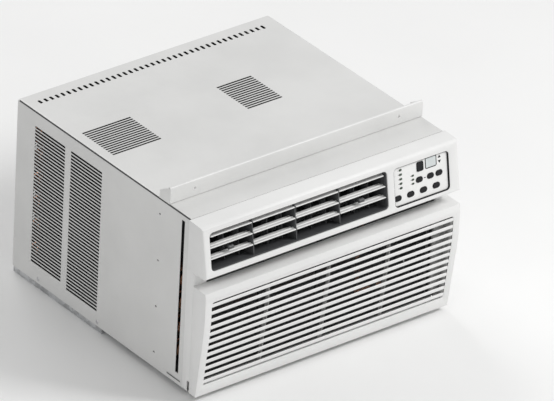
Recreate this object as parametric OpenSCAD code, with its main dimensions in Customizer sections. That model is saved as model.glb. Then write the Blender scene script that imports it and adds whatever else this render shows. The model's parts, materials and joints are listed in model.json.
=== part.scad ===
// Window air conditioner: a louvred steel case on a drip pan, a moulded front with an air outlet,
// a control panel and a lift-and-tilt inlet grille, and the whole cooling unit inside.
// X runs to the right as seen from the room, the front faces -Y, Z is up.
// The origin is the middle of the footprint, at the underside.
// Two helper measures are used throughout: "from back" is the distance in front of the rear edge,
// and "down" is the distance below the top of the case.

/* [Overall size] */
// Width of the moulded front, the widest piece
body_w = 600; // [590:5:640]
// Depth from the rear edge of the case to the foremost point of the inlet grille
body_d = 590; // [590:5:620]
// Height from the underside of the drip pan to the top of the case
body_h = 372; // [372:2:390]

/* [Case] */
// Width over the steel side sheets
case_w = 595; // [585:5:635]
// Thickness of the case sheet
sheet_t = 1.2; // [0.8:0.1:2]
// Outside radius of the two top bends
bend_r = 5; // [3:1:8]
// Distance between two louvre slits
louvre_pitch = 7.2; // [6:0.2:9]
// Height of one louvre slit
louvre_gap = 4.6; // [2:0.2:5]
// Number of slots in the strip along the rear of the top
rear_slots = 41; // [20:1:45]

/* [Top rail] */
// Height of the upright that the window sash closes on
rail_h = 35; // [20:1:45]
// Depth of the foot of the rail
rail_foot = 33; // [20:1:40]
// Sheet thickness of both rails
rail_t = 1.6; // [1:0.1:2.5]

/* [Front] */
// Wall thickness of the moulded pieces
wall = 2.5; // [2:0.1:3.5]
// Width of the air outlet
outlet_w = 415; // [380:5:430]
// Height of the air outlet along the sloping face
outlet_h = 77; // [70:1:80]
// Number of louvres in the inlet grille
grille_slats = 12; // [8:1:16]
// Width of the grille's side frame
grille_side = 15; // [12:1:20]

/* [Motion] */
// Largest swing of the air vanes either way, in degrees
vane_swing = 35; // [20:1:35]
// How far the grille lifts before it tilts
grille_lift = 8; // [4:1:8]
// Radius of the grille's hinge pins
pin_r = 3; // [2:0.1:3]

/* [Fans] */
// Height of the fan shaft above the underside
axis_z = 168; // [165:1:172]
// Radius of the fan shaft
shaft_r = 6.35; // [5:0.05:8]
// Radius of the blower wheel
blower_r = 100; // [80:1:104]
// Number of blower blades
blower_blades = 32; // [20:1:40]
// Radius over the rear fan's blades
fan_r = 138; // [120:1:140]

/* [Hidden] */
$fn = 48;
gap = 0.3;                       // clearance between pieces that move past each other
fit = 0.06;                      // radial clearance of a shaft in its bore
half_w = body_w / 2;
half_case = case_w / 2;
case_front = 530.7;              // front edge of the case, from back
bezel_back = 531;                // rear edge of the moulded front, from back
case_bottom = 360;               // lower edge of the side sheets, down
axis_x = -50;                    // fan shaft, across
pan_step = 280;                  // where the deep rear of the pan ends, from back
pan_rise = 10;                   // how much higher the front of the pan lies
pan_rim = 34;                    // top of the pan's rim, above the underside
drain_at = [110, 262];           // drain hole: across, from back
rail_front = 468;                // front of the top rail, from back
rail_screw = [240, 451.5];       // screws down through the rail's foot: across, from back
compressor_at = [205, 185];      // across, from back
foot_circle = 78;                // compressor feet, from its axis
foot_angles = [30, 150, 270];
suction_z = 52;                  // height of the suction line through the bulkhead
pipe_x = 284;                    // the riser beside the compressor

// sloping face above the grille: its top edge, and how far it leans back
face_top = [570, 4];             // from back, down
face_low = [587, 103];
face_lean = atan((face_low[0] - face_top[0]) / (face_low[1] - face_top[1]));

// air outlet on the face: centre across, top edge along the face
outlet_x = -77.5;
outlet_v = 10;
outlet_corner = 9;
duct_depth = 48;
outlet_rib_x = [-182.5, -83, 19];
rib_t = 2;
blade_v = [20, 42, 64];
blade_y = 14;
blade_chord = 20;
blade_t = 2.4;
blade_pin_r = 2.5;
vane_y = 36;
vane_chord = 18;
vane_t = 2;
vane_pin_r = 1.5;
vane_pitch = 33.7;
vanes_per_bank = 6;
bank_start_x = [-268.1, -64.9];
lever_vane = [1, 4];             // which vane of each bank carries the lever
lever_v = 53;
link_arm = 7;                    // link pin behind the vane's pivot
link_v = 81;
link_pin_r = 1;
link_t = 2;

// control panel recess on the face
panel = [145, 12, 131, 79];      // left edge, top along the face, width, height
panel_corner = 8;
panel_depth = 5;
overlay_t = 1.2;
gasket_w = 1.8;                  // channel round the overlay
panel_wall = 1.8;                // wall of the recess
floor_t = 2;
flange_at = panel_depth + floor_t + 0.1;
flange_t = 1.2;
stem_len = 2.4;
button_travel = 0.8;
switch_h = 1.8;
// across, along the face, width, height
buttons = [
    [210, 26, 16, 19], [207, 51.5, 16, 11], [233.5, 51.5, 16, 11], [254, 51.5, 16, 11],
    [154.5, 74.5, 17, 11], [185, 74.5, 17, 11], [215.5, 74.5, 17, 11], [246, 74.5, 17, 11]
];
display = [236, 24.5, 24, 19];   // across, along the face, width, height

// inlet grille and filter
grille_top = 131;
grille_low = 360;
grille_back = 552.5;
grille_bend = 205;               // below this the grille slopes back
grille_slope = 0.118;
window_top = 152;
window_low = 338;
hinge = [556, 352];              // from back, down
ear_r = 6;
lug_x = [288.3, 292];            // inner and outer face of the bezel's slotted lug
lug_r = 5.2;                     // round lower end of the lug
relief_top = 336;                // below this the lower frame steps back behind the grille
relief_back = 545;
frame_opening = [540, 345];      // width, lower edge down
filter_front = 547;
filter_back = 541;
filter_top = 114;
filter_low = 344.5;
filter_half = 277.5;

function fy(from_back) = body_d / 2 - from_back;
function dz(down) = body_h - down;
function grille_front(down) = body_d - max(0, down - grille_bend) * grille_slope;

// ---------- placing helpers ----------

// a flat drawing in (from back, height) becomes a slab from x to x + thickness
module side_slab(x, thickness) {
    translate([x + thickness, fy(0), 0]) rotate([90, 0, -90]) linear_extrude(thickness) children();
}

// a flat drawing in (across, height) becomes a slab from from_back to from_back + thickness
module front_slab(from_back, thickness) {
    translate([0, fy(from_back), 0]) rotate([90, 0, 0]) linear_extrude(thickness) children();
}

// a box given by its two corners: across, from back, down
module block(x, from_back, down) {
    translate([x[0], fy(from_back[1]), dz(down[1])])
        cube([x[1] - x[0], from_back[1] - from_back[0], down[1] - down[0]]);
}

// the sloping face: local y goes into the body, local z is minus the distance down the face
module on_face() {
    translate([0, fy(face_top[0]), dz(face_top[1])]) rotate([-face_lean, 0, 0]) children();
}

// a box on the face: across, into the body, along the face
module face_block(x, into, along) {
    translate([x[0], into[0], -along[1]]) cube([x[1] - x[0], into[1] - into[0], along[1] - along[0]]);
}

// a flat drawing in (across, minus along) becomes a slab lying in the face
module face_slab(into, thickness) {
    translate([0, into + thickness, 0]) rotate([90, 0, 0]) linear_extrude(thickness) children();
}

module mirrored() {
    children();
    mirror([1, 0, 0]) children();
}

// a rectangle with round corners, centred
module rounded(w, h, r) {
    square([w - 2 * r, h], center = true);
    square([w, h - 2 * r], center = true);
    for (x = [-1, 1], y = [-1, 1]) translate([x * (w / 2 - r), y * (h / 2 - r)]) circle(r);
}

// a rod from one point to another
module rod(a, b, r) {
    v = b - a;
    translate(a) rotate([0, acos(v[2] / norm(v)), atan2(v[1], v[0])]) cylinder(r = r, h = norm(v));
}

// a pipe through a list of points, with ball corners
module pipe(points, r) {
    for (i = [0 : len(points) - 2]) rod(points[i], points[i + 1], r);
    for (i = [1 : len(points) - 2]) translate(points[i]) sphere(r);
}

// a cylinder on the fan axis whose front end is at from_back, running towards the back
module on_axis(from_back, length, r) {
    translate([axis_x, fy(from_back), axis_z]) rotate([-90, 0, 0]) cylinder(r = r, h = length);
}

// ---------- case and rails ----------

module base_pan() {
    inner = half_case - sheet_t - gap;
    pan_t = 1.5;
    front_end = 528;
    back_end = 1.5;
    color("gainsboro") difference() {
        union() {
            block([-inner, inner], [back_end, pan_step], [body_h - pan_rim, body_h]);
            block([-inner, inner], [pan_step - pan_t, front_end], [body_h - pan_rim, body_h - pan_rise]);
        }
        block([-inner + pan_t, inner - pan_t], [back_end + pan_t, pan_step - pan_t],
            [0, body_h - pan_t]);
        block([-inner + pan_t, inner - pan_t], [pan_step - 2 * pan_t, front_end - pan_t],
            [0, body_h - pan_rise - pan_t]);
        translate([drain_at[0], fy(drain_at[1]), -1]) cylinder(r = 9, h = 4);
        for (x = [-1, 1], f = [81, 267]) translate([x * inner, fy(f), dz(351)])
            rotate([0, 90, 0]) cylinder(r = 1.6, h = 6, center = true);
    }
}

module louvre_rows(from_back, width, top, low) {
    rows = floor((low - top) / louvre_pitch);
    for (i = [0 : rows - 1])
        translate([from_back, dz(top + (i + 0.5) * louvre_pitch) - louvre_gap / 2])
            square([width, louvre_gap]);
}

module side_sheet() {
    difference() {
        translate([0, dz(case_bottom)]) square([case_front, case_bottom - bend_r]);
        louvre_rows(56, 94, 29, 331);
        louvre_rows(168, 96, 29, 332);
        translate([506.5, dz(337)]) square([9, 325]);
        translate([482, dz(353)]) square([40, 3.5]);
        for (d = [32, 131, 229.5, 327.5]) translate([441, dz(d)]) circle(2);
        for (f = [81, 267]) translate([f, dz(351)]) circle(2);
        children();
    }
}

module top_vent(x, width) {
    rows = 14;
    for (i = [0 : rows - 1])
        translate([x, -(172 + i * louvre_pitch)]) square([width, louvre_gap]);
}

module top_sheet() {
    slot_pitch = 540 / rear_slots;
    difference() {
        translate([-half_case + bend_r, -case_front]) square([case_w - 2 * bend_r, case_front]);
        top_vent(26 - half_w, 112);
        top_vent(341 - half_w, 82);
        for (i = [0 : rear_slots - 1])
            translate([25 - half_w + (i + 0.5) * slot_pitch, -31]) rotate(90) rounded(14, 6, 2.9);
        for (x = [-1, 1]) translate([x * rail_screw[0], -rail_screw[1]]) circle(2);
    }
}

module outer_case() {
    gland = [495, dz(320)];
    color("white") {
        side_slab(-half_case, sheet_t) side_sheet();
        side_slab(half_case - sheet_t, sheet_t) side_sheet() translate(gland) circle(9);
        translate([0, fy(0), body_h - sheet_t]) linear_extrude(sheet_t) top_sheet();
        mirrored() translate([half_case - bend_r, fy(0), body_h - bend_r]) rotate([90, 0, 0])
            linear_extrude(case_front) intersection() {
                difference() {
                    circle(bend_r);
                    circle(bend_r - sheet_t);
                }
                square(bend_r + 1);
            }
    }
}

module rear_grille() {
    inner = half_case - sheet_t - gap;
    plate_t = 1.2;
    columns = 40;
    rows = 4;
    pitch = 556 / columns;
    row_h = 74;
    slot_h = row_h - 10;
    low = pan_rim + 0.5;
    top = body_h - sheet_t - gap;
    color("white") {
        front_slab(3, plate_t) difference() {
            translate([-inner, low]) square([2 * inner, top - low]);
            for (x = [-1, 1]) translate([x * inner, top]) rotate(45) square(bend_r, center = true);
            for (i = [0 : columns - 1], j = [0 : rows - 1])
                translate([-278 + (i + 0.5) * pitch, 58 + (j + 0.5) * row_h])
                    rounded(9, slot_h, 4);
        }
        mirrored() block([inner - plate_t, inner], [3 + plate_t, 13], [bend_r + gap, body_h - low]);
    }
}

module top_rail() {
    front = rail_front;
    fold = 4;
    rail_half = half_case - 1;
    hole_x = 240;
    color("white") difference() {
        union() {
            block([-rail_half, rail_half], [front - rail_foot, front], [-rail_t, 0]);
            block([-rail_half, rail_half], [front - rail_t, front], [-rail_h, -rail_t]);
            block([-rail_half, rail_half], [front - rail_t - fold, front - rail_t],
                [-rail_h, -rail_h + rail_t]);
            mirrored() side_slab(rail_half - rail_t, rail_t) polygon([
                [front - rail_foot, body_h + rail_t],
                [front - rail_t, body_h + rail_t],
                [front - rail_t, body_h + rail_h - rail_t],
                [front - rail_foot, body_h + rail_h / 2]
            ]);
        }
        mirrored() translate([rail_screw[0], fy(rail_screw[1]), body_h - 1])
            cylinder(r = 2.25, h = 2 * rail_t + 1);
        mirrored() translate([hole_x, fy(front) - 1, body_h + rail_h / 2]) rotate([-90, 0, 0])
            cylinder(r = 2.75, h = rail_t + 2);
    }
}

module bottom_rail() {
    rail_half = 286;
    low = pan_rise;
    color("silver") {
        block([-rail_half, rail_half], [437, 462], [body_h - low, body_h - low + rail_t]);
        block([-rail_half, rail_half], [437, 437 + rail_t], [body_h - low + rail_t, body_h]);
        block([-rail_half, rail_half], [462 - rail_t, 462], [body_h - low + rail_t, body_h]);
    }
}

module screw() {
    cylinder(r = 4, h = 1.8);
    translate([0, 0, -4]) cylinder(r = 1.55, h = 4.01);
}

module case_screws() {
    color("gray") {
        mirrored() for (f = [81, 267])
            translate([half_case, fy(f), dz(351)]) rotate([0, 90, 0]) screw();
        mirrored() translate([rail_screw[0], fy(rail_screw[1]), body_h + rail_t]) screw();
    }
}

// ---------- moulded front ----------

module bezel_profile(skin) {
    polygon([
        [bezel_back - 1, dz(0.5 + skin)], [bezel_back + 3, dz(0.5 + skin)],
        [face_top[0] - 5 - skin, dz(1.5 + skin)], [face_top[0] - skin, dz(face_top[1] + skin)],
        [face_low[0] - skin, dz(face_low[1] - skin)], [bezel_back - 1, dz(face_low[1] - skin)]
    ]);
}

module bezel_upper() {
    intersection() {
        difference() {
            side_slab(-half_w, body_w) bezel_profile(0);
            side_slab(-half_w + wall, body_w - 2 * wall) bezel_profile(wall);
        }
        block([-half_w, half_w], [bezel_back, body_d], [0, 110]);
    }
}

module bezel_lower() {
    front = 552;
    difference() {
        block([-half_w, half_w], [bezel_back, front], [face_low[1], 363]);
        block([-frame_opening[0] / 2, frame_opening[0] / 2], [bezel_back - 1, front + 1],
            [face_low[1] - 1, frame_opening[1]]);
        block([-filter_half - gap, filter_half + gap], [filter_back - gap, filter_front + gap],
            [face_low[1] - 1, filter_low + gap]);
        mirrored() block([filter_half + 3, half_w - wall], [bezel_back - 1, front - wall],
            [face_low[1] - 1, 360]);
        block([-half_w - 1, half_w + 1], [relief_back, front + 1], [relief_top, 364]);
    }
}

module hinge_lug() {
    top = hinge[1] - grille_lift - 8;
    back = 540;
    difference() {
        union() {
            block([lug_x[0], lug_x[1]], [back, hinge[0] + lug_r], [top, hinge[1]]);
            block([lug_x[0], lug_x[1]], [back, hinge[0]], [hinge[1] - 1, hinge[1] + lug_r]);
            translate([lug_x[0], fy(hinge[0]), dz(hinge[1])]) rotate([0, 90, 0])
                cylinder(r = lug_r, h = lug_x[1] - lug_x[0]);
        }
        block([lug_x[0] - 1, lug_x[1] + 1], [hinge[0] - pin_r - 0.15, hinge[0] + pin_r + 0.15],
            [hinge[1] - grille_lift - pin_r - 0.15, hinge[1] + pin_r + 0.15]);
    }
}

module outlet_hole(grow) {
    translate([outlet_x, -(outlet_v + outlet_h / 2)])
        rounded(outlet_w + 2 * grow, outlet_h + 2 * grow, outlet_corner + grow);
}

module panel_outline(grow) {
    translate([panel[0] + panel[2] / 2, -(panel[1] + panel[3] / 2)])
        rounded(panel[2] + 2 * grow, panel[3] + 2 * grow, panel_corner + grow);
}

module button_outline(b, grow) {
    r = b[3] < b[2] ? b[3] / 2 - 0.01 : 3.5;
    translate([b[0], -b[1]]) rounded(b[2] + 2 * grow, b[3] + 2 * grow, r + grow);
}

module display_outline(grow) {
    translate([display[0], -display[1]])
        rounded(display[2] + 2 * grow, display[3] + 2 * grow, 2 + grow);
}

module front_bezel() {
    color("whitesmoke") {
        difference() {
            union() {
                bezel_upper();
                bezel_lower();
                mirrored() hinge_lug();
                on_face() face_slab(0.5, panel_depth + floor_t - 0.5) panel_outline(panel_wall);
            }
            on_face() face_slab(-1, wall + 4) outlet_hole(0);
            on_face() face_slab(-1, panel_depth + 1) panel_outline(0);
            on_face() face_slab(0, 10) {
                for (b = buttons) button_outline(b, 0.4);
                display_outline(-1.5);
            }
        }
    }
}

module outlet_frame() {
    slack = 0.3;
    front = 3;
    x0 = outlet_x - outlet_w / 2;
    x1 = outlet_x + outlet_w / 2;
    color("silver") on_face() difference() {
        union() {
            difference() {
                face_slab(front, duct_depth - front) outlet_hole(-slack);
                face_slab(front - 1, duct_depth) outlet_hole(-slack - 2);
            }
            for (x = outlet_rib_x)
                face_block([x - rib_t / 2, x + rib_t / 2], [6, duct_depth],
                    [outlet_v + 1.5, outlet_v + outlet_h - 1.5]);
        }
        for (v = blade_v) translate([x0 - 1, blade_y, -v]) rotate([0, 90, 0])
            cylinder(r = blade_pin_r + fit, h = x1 - x0 + 2);
        for (b = [0, 1], i = [0 : vanes_per_bank - 1])
            translate([bank_start_x[b] + i * vane_pitch, vane_y, -(outlet_v + outlet_h + 1)])
                cylinder(r = vane_pin_r + fit, h = outlet_h + 2);
        for (x = [outlet_rib_x[0], outlet_rib_x[2]])
            face_block([x - rib_t, x + rib_t], [38.5, 46.2], [link_v - 2, link_v + 2]);
    }
}

// ---------- air vanes ----------

module blade(index) {
    // the top blade is shorter, because it swings into the outlet's round corners
    inset = index == 0 ? 5.8 : 2.8;
    x0 = outlet_x - outlet_w / 2 + inset;
    x1 = outlet_x + outlet_w / 2 - inset;
    edges = concat([x0], [for (x = outlet_rib_x) x], [x1]);
    side_gap = rib_t / 2 + 0.6;
    color("white") on_face() translate([0, blade_y, -blade_v[index]]) {
        translate([outlet_x, 0, 0]) rotate([0, 90, 0])
            cylinder(r = blade_pin_r, h = outlet_w - 2, center = true);
        for (i = [0 : len(edges) - 2]) {
            a = edges[i] + (i == 0 ? 0 : side_gap);
            b = edges[i + 1] - (i == len(edges) - 2 ? 0 : side_gap);
            translate([a, 0, 0]) rotate([90, 0, 90]) linear_extrude(b - a) {
                square([blade_chord - blade_t, blade_t], center = true);
                for (s = [-1, 1]) translate([s * (blade_chord - blade_t) / 2, 0]) circle(blade_t / 2);
            }
        }
    }
}

module vane(bank, index) {
    top = outlet_v + 2.3 + 0.5;
    low = outlet_v + outlet_h - 2.3 - 0.5;
    has_lever = index == lever_vane[bank];
    notch = [link_v - 2.2, link_v + 2.2];
    color("gray") on_face() translate([bank_start_x[bank] + index * vane_pitch, vane_y, 0]) {
        difference() {
            face_block([-vane_t / 2, vane_t / 2], [-vane_chord / 2, vane_chord / 2], [top, low]);
            face_block([-vane_t, vane_t], [2.5, vane_chord], notch);
        }
        translate([0, 0, -low - 1.6]) cylinder(r = vane_pin_r, h = low - top + 3.2);
        translate([0, link_arm, -notch[1]]) cylinder(r = link_pin_r, h = notch[1] - notch[0]);
        if (has_lever) {
            face_block([-1, 1], [-30, -vane_chord / 2], [lever_v - 2.5, lever_v + 2.5]);
            translate([0, -30, -lever_v]) rotate([0, 90, 0]) cylinder(r = 3.9, h = 11, center = true);
        }
    }
}

module link_bar(bank) {
    reach = 3.5;
    a = bank_start_x[bank] - reach;
    b = bank_start_x[bank] + (vanes_per_bank - 1) * vane_pitch + reach;
    pin_back = vane_y + link_arm;
    pin_front = vane_y + link_arm * cos(vane_swing);
    color("dimgray") on_face() difference() {
        face_block([a, b], [pin_front - 2.3, pin_back + 2.3], [link_v - link_t / 2, link_v + link_t / 2]);
        for (i = [0 : vanes_per_bank - 1])
            face_block([bank_start_x[bank] + i * vane_pitch - link_pin_r - 0.45,
                    bank_start_x[bank] + i * vane_pitch + link_pin_r + 0.45],
                [pin_front - link_pin_r - 0.3, pin_back + link_pin_r + 0.3],
                [link_v - link_t, link_v + link_t]);
    }
}

// ---------- control panel ----------

module control_overlay() {
    color("lightgray") on_face() face_slab(panel_depth - overlay_t, overlay_t) difference() {
        panel_outline(-gasket_w);
        for (b = buttons) button_outline(b, 0.4);
        display_outline(0.2);
    }
}

module display_window() {
    color("black", 0.6) on_face() face_slab(panel_depth - overlay_t - 0.3, overlay_t + 0.3)
        display_outline(0);
}

module button(index) {
    b = buttons[index];
    proud = 1.6;
    front = panel_depth - overlay_t - proud;
    color("dimgray") on_face() {
        face_slab(front, flange_at - front) button_outline(b, 0);
        face_slab(flange_at, flange_t) button_outline(b, 1.2);
        translate([b[0], flange_at + flange_t, -b[1]]) rotate([-90, 0, 0])
            cylinder(r = 2, h = stem_len);
    }
}

module circuit_board() {
    board_at = flange_at + flange_t + stem_len + button_travel + gap + switch_h;
    color("darkgreen") on_face() {
        face_slab(board_at, 1.6) translate([panel[0] + panel[2] / 2, -(panel[1] + panel[3] / 2)])
            rounded(panel[2] - 4, panel[3] - 4, 3);
        for (b = buttons) translate([b[0], board_at, -b[1]]) {
            translate([-3, -1, -3]) cube([6, 1, 6]);
            rotate([90, 0, 0]) cylinder(r = 1.6, h = switch_h);
        }
        face_block([display[0] - 11, display[0] + 11], [board_at - 4.5, board_at],
            [display[1] - 8, display[1] + 8]);
    }
}

module control_box() {
    t = 1;
    x = [150, 276];
    f = [430, 528];
    d = [6, 98];
    color("silver") difference() {
        block(x, f, d);
        block([x[0] + t, x[1] - t], [f[0] + t, f[1] + 1], [d[0] + t, d[1] - t]);
    }
}

module run_capacitor() {
    color("silver") translate([245, fy(475), dz(96.5)]) {
        cylinder(r = 21, h = 72);
        for (x = [-8, 8]) translate([x, -1, 72]) cube([1, 6, 8]);
    }
}

module cord_gland() {
    r = 4.2;
    color("black") translate([half_case, fy(495), dz(320)]) rotate([0, 90, 0]) difference() {
        union() {
            cylinder(r = 12, h = 1.6);
            translate([0, 0, -sheet_t - 2]) cylinder(r = 8.8, h = sheet_t + 3);
            translate([0, 0, -sheet_t - 3.2]) cylinder(r = 11, h = 3);
        }
        translate([0, 0, -6]) cylinder(r = r, h = 10);
    }
}

// ---------- filter and inlet grille ----------

module filter_frame() {
    bar = 9;
    color("dimgray") {
        difference() {
            block([-filter_half, filter_half], [filter_back, filter_front], [filter_top, filter_low]);
            for (i = [0 : 3]) {
                cell = (2 * filter_half - 5 * bar) / 4;
                x = -filter_half + bar + i * (cell + bar);
                block([x, x + cell], [filter_back - 1, filter_front + 1],
                    [filter_top + 14, filter_low - bar]);
            }
        }
        for (x = [-150, 150]) block([x - 22, x + 22], [filter_front, filter_front + 7],
            [filter_top + 2, filter_top + 4.5]);
    }
}

module filter_mesh() {
    color("dimgray") for (i = [0 : 3]) {
        bar = 9;
        cell = (2 * filter_half - 5 * bar) / 4;
        x = -filter_half + bar + i * (cell + bar);
        block([x, x + cell], [filter_back + 2.4, filter_back + 3.4], [filter_top + 14, filter_low - bar]);
    }
}

module grille_outline() {
    polygon([
        [grille_back, dz(grille_low)], [grille_back, dz(grille_top)],
        [body_d - 2, dz(grille_top)], [body_d, dz(grille_top + 12)], [body_d, dz(grille_bend)],
        [grille_front(grille_low), dz(grille_low)]
    ]);
}

module grille_cavity() {
    polygon([
        [grille_back - 1, dz(grille_low - wall)], [grille_back - 1, dz(grille_top + wall)],
        [body_d - wall - 1, dz(grille_top + wall)], [body_d - wall, dz(grille_top + 12)],
        [body_d - wall, dz(grille_bend)],
        [grille_front(grille_low) - wall, dz(grille_low - wall)]
    ]);
}

module slat(down) {
    f = grille_front(down);
    nose = 3.6;
    tail = [f - 13, down + 7.5];
    polygon([
        [f - 0.4, dz(down + nose - 0.8)], [f - 0.4, dz(down - nose + 0.8)], [f - 1.2, dz(down - nose)],
        [tail[0], dz(tail[1] - 2)], [tail[0], dz(tail[1])], [f - 4, dz(down + nose + 0.6)],
        [f - 1.4, dz(down + nose)]
    ]);
}

module inlet_grille() {
    window_half = half_w - grille_side;
    pitch = (window_low - window_top) / grille_slats;
    return_t = 2;
    color("white") {
        difference() {
            side_slab(-half_w, body_w) grille_outline();
            side_slab(-half_w + wall, body_w - 2 * wall) grille_cavity();
            block([-window_half, window_half], [grille_back - 1, body_d + 1],
                [window_top, window_low]);
            mirrored() block([lug_x[0] - 0.8, lug_x[1] + 0.5], [grille_back - 1, hinge[0] + 13],
                [grille_low - 5, grille_low + 1]);
        }
        mirrored() side_slab(window_half, return_t) polygon([
            [body_d - 18, dz(window_top - 1)], [body_d - 1, dz(window_top - 1)],
            [body_d - 1, dz(grille_bend)], [grille_front(window_low) - 1, dz(window_low + 1)],
            [grille_front(window_low) - 14, dz(window_low + 1)], [body_d - 18, dz(grille_bend)]
        ]);
        for (i = [0 : grille_slats - 1])
            side_slab(-window_half - 0.5, 2 * window_half + 1) slat(window_top + (i + 0.5) * pitch);
        for (x = [-window_half / 2, 0, window_half / 2]) side_slab(x - 1, 2) polygon([
            [body_d - 20, dz(window_top - 4)], [body_d - 11, dz(window_top - 4)],
            [body_d - 11, dz(grille_bend)], [grille_front(window_low) - 11, dz(window_low + 4)],
            [grille_front(window_low) - 20, dz(window_low + 4)], [body_d - 20, dz(grille_bend)]
        ]);
        mirrored() translate([lug_x[1] + 0.5, fy(hinge[0]), dz(hinge[1])]) rotate([0, 90, 0])
            difference() {
                cylinder(r = ear_r, h = half_w - wall - lug_x[1]);
                translate([0, 0, -1]) cylinder(r = pin_r + fit, h = 6);
            }
    }
}

module grille_pins() {
    color("silver") mirrored() translate([lug_x[0] - 1.6, fy(hinge[0]), dz(hinge[1])])
        rotate([0, 90, 0]) {
            cylinder(r = pin_r, h = lug_x[1] - lug_x[0] + 6);
            translate([0, 0, -1.5]) cylinder(r = pin_r + 1.2, h = 1.5);
        }
}

// ---------- fans and motor ----------

module fan_shaft() {
    color("silver") on_axis(406, 340, shaft_r);
}

module blower_wheel() {
    f0 = 328;
    f1 = 402;
    color("dimgray") {
        difference() {
            union() {
                on_axis(f0 + 3, 3, blower_r);
                on_axis(f0 + 34, 34, 18);
            }
            on_axis(f1, f1 - f0 + 10, shaft_r);
        }
        difference() {
            on_axis(f1, 3, blower_r);
            on_axis(f1 + 1, 6, blower_r - 16);
        }
        for (i = [0 : blower_blades - 1])
            translate([axis_x, fy(f1 - 2), axis_z]) rotate([0, i * 360 / blower_blades, 0])
                translate([blower_r - 8, 0, 0]) rotate([0, 35, 0])
                    translate([-7, 0, -0.6]) cube([14, f1 - f0 - 4, 1.2]);
    }
}

module condenser_fan() {
    hub_r = 26;
    fan_back = 72;
    fan_front = 104;
    blades = 5;
    color("dimgray") {
        difference() {
            on_axis(fan_front, fan_front - fan_back, hub_r);
            on_axis(fan_front + 1, fan_front - fan_back + 2, shaft_r);
        }
        difference() {
            on_axis(fan_back + 12, 10, fan_r + 8);
            on_axis(fan_back + 13, 12, fan_r + 5);
        }
        for (i = [0 : blades - 1]) intersection() {
            translate([axis_x, fy(88), axis_z]) rotate([0, i * 360 / blades, 0])
                rotate([28, 0, 0]) translate([hub_r - 3, -1, -34]) cube([fan_r + 3 - hub_r, 2, 68]);
            difference() {
                on_axis(fan_front + 4, fan_front - fan_back + 8, fan_r + 5.5);
                on_axis(fan_front + 5, fan_front - fan_back + 10, hub_r - 2);
            }
        }
    }
}

module fan_motor() {
    motor_r = 62;
    f0 = 150;
    f1 = 250;
    color("gray") difference() {
        union() {
            on_axis(f1, f1 - f0, motor_r);
            on_axis(f1 + 8, f1 - f0 + 16, 24);
            for (f = [f0 + 14, f1 - 22]) on_axis(f + 8, 8, motor_r + 1.5);
        }
        on_axis(f1 + 20, f1 - f0 + 40, shaft_r + fit);
    }
}

module motor_bracket() {
    x0 = axis_x - 70;
    x1 = axis_x + 70;
    t = 3;
    color("silver") {
        difference() {
            union() {
                for (f = [[176, 176 + t], [221, 221 + t]])
                    block([x0, x1], f, [body_h - axis_z + 22, body_h - 1.8]);
                block([x0 - 15, x1 + 15], [176, 224], [body_h - 1.8 - t, body_h - 1.8]);
            }
            on_axis(260, 120, 62.3);
        }
    }
}

module blower_scroll() {
    f0 = 318;
    f1 = 412;
    skin = 6;
    duct_x = [-288, 133];
    duct_d = [7, 98];
    mouth = 514;
    color("whitesmoke") difference() {
        union() {
            on_axis(f1, f1 - f0, blower_r + 18);
            block([axis_x - blower_r - 18, axis_x + blower_r + 18], [f0, f1],
                [duct_d[1] - 1, body_h - axis_z]);
            block(duct_x, [f0, mouth], duct_d);
        }
        on_axis(f1 - skin, f1 - f0 - 2 * skin, blower_r + 12);
        block([axis_x - blower_r - 12, axis_x + blower_r + 12], [f0 + skin, f1 - skin],
            [duct_d[0] + skin, body_h - axis_z]);
        block([duct_x[0] + 4, duct_x[1] - 4], [f0 + skin, mouth + 1], [duct_d[0] + 4, duct_d[1] - skin]);
        on_axis(f1 + 1, skin + 2, 78);
        on_axis(f0 + skin + 1, skin + 2, 20);
    }
}

module bulkhead() {
    inner = half_case - sheet_t - 2.2;
    color("silver") front_slab(300, 3) difference() {
        translate([-inner, pan_rise + 1.8]) square([2 * inner, body_h - sheet_t - 0.5 - pan_rise - 1.8]);
        translate([axis_x, axis_z]) circle(22);
        translate([compressor_at[0] - 5, suction_z]) circle(14);
    }
}

module fan_shroud() {
    inner = 272;
    orifice = fan_r + 13;
    t = 2;
    color("dimgray") difference() {
        union() {
            front_slab(60, t) difference() {
                translate([-inner, 14]) square([2 * inner, 346]);
                translate([axis_x, axis_z]) circle(orifice);
            }
            difference() {
                block([-inner, inner], [50, 60], [12, body_h - 14]);
                block([-inner + t, inner - t], [49, 61], [12 + t, body_h - 14 - t]);
            }
            difference() {
                on_axis(84, 23, orifice + t);
                on_axis(85, 40, orifice);
            }
        }
    }
}

// ---------- refrigeration circuit ----------

module fin_pack(x, f, d, pitch, fin_t) {
    count = floor((x[1] - x[0]) / pitch);
    for (i = [0 : count]) block([x[0] + i * pitch, x[0] + i * pitch + fin_t], f, d);
}

// a row of straight tubes joined by bends at alternate ends, with both free ends on the right
module serpentine(x, from_back, low_z, count, pitch, r) {
    for (i = [0 : count - 1])
        rod([x[0], fy(from_back), low_z + i * pitch], [x[1], fy(from_back), low_z + i * pitch], r);
    for (i = [0 : count - 2])
        translate([i % 2 == 0 ? x[0] : x[1], fy(from_back), low_z + (i + 0.5) * pitch])
            rotate([90, 0, 0]) rotate([0, 0, i % 2 == 0 ? 90 : -90])
                rotate_extrude(angle = 180) translate([pitch / 2, 0]) circle(r);
}

module condenser_fins() {
    color("silver") fin_pack([-258, 262], [16, 48], [30, body_h - 22], 8, 0.6);
}

module condenser_tubes() {
    color("peru") for (f = [24, 40]) serpentine([-262, 266], f, 32, 12, 25.4, 4.76);
}

module evaporator_fins() {
    color("silver") fin_pack([-262, 130], [446, 498], [112, 330], 8, 0.6);
}

module evaporator_tubes() {
    color("peru") for (f = [456, 472, 488]) serpentine([-266, 134], f, 52, 8, 25.4, 4.76);
}

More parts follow.
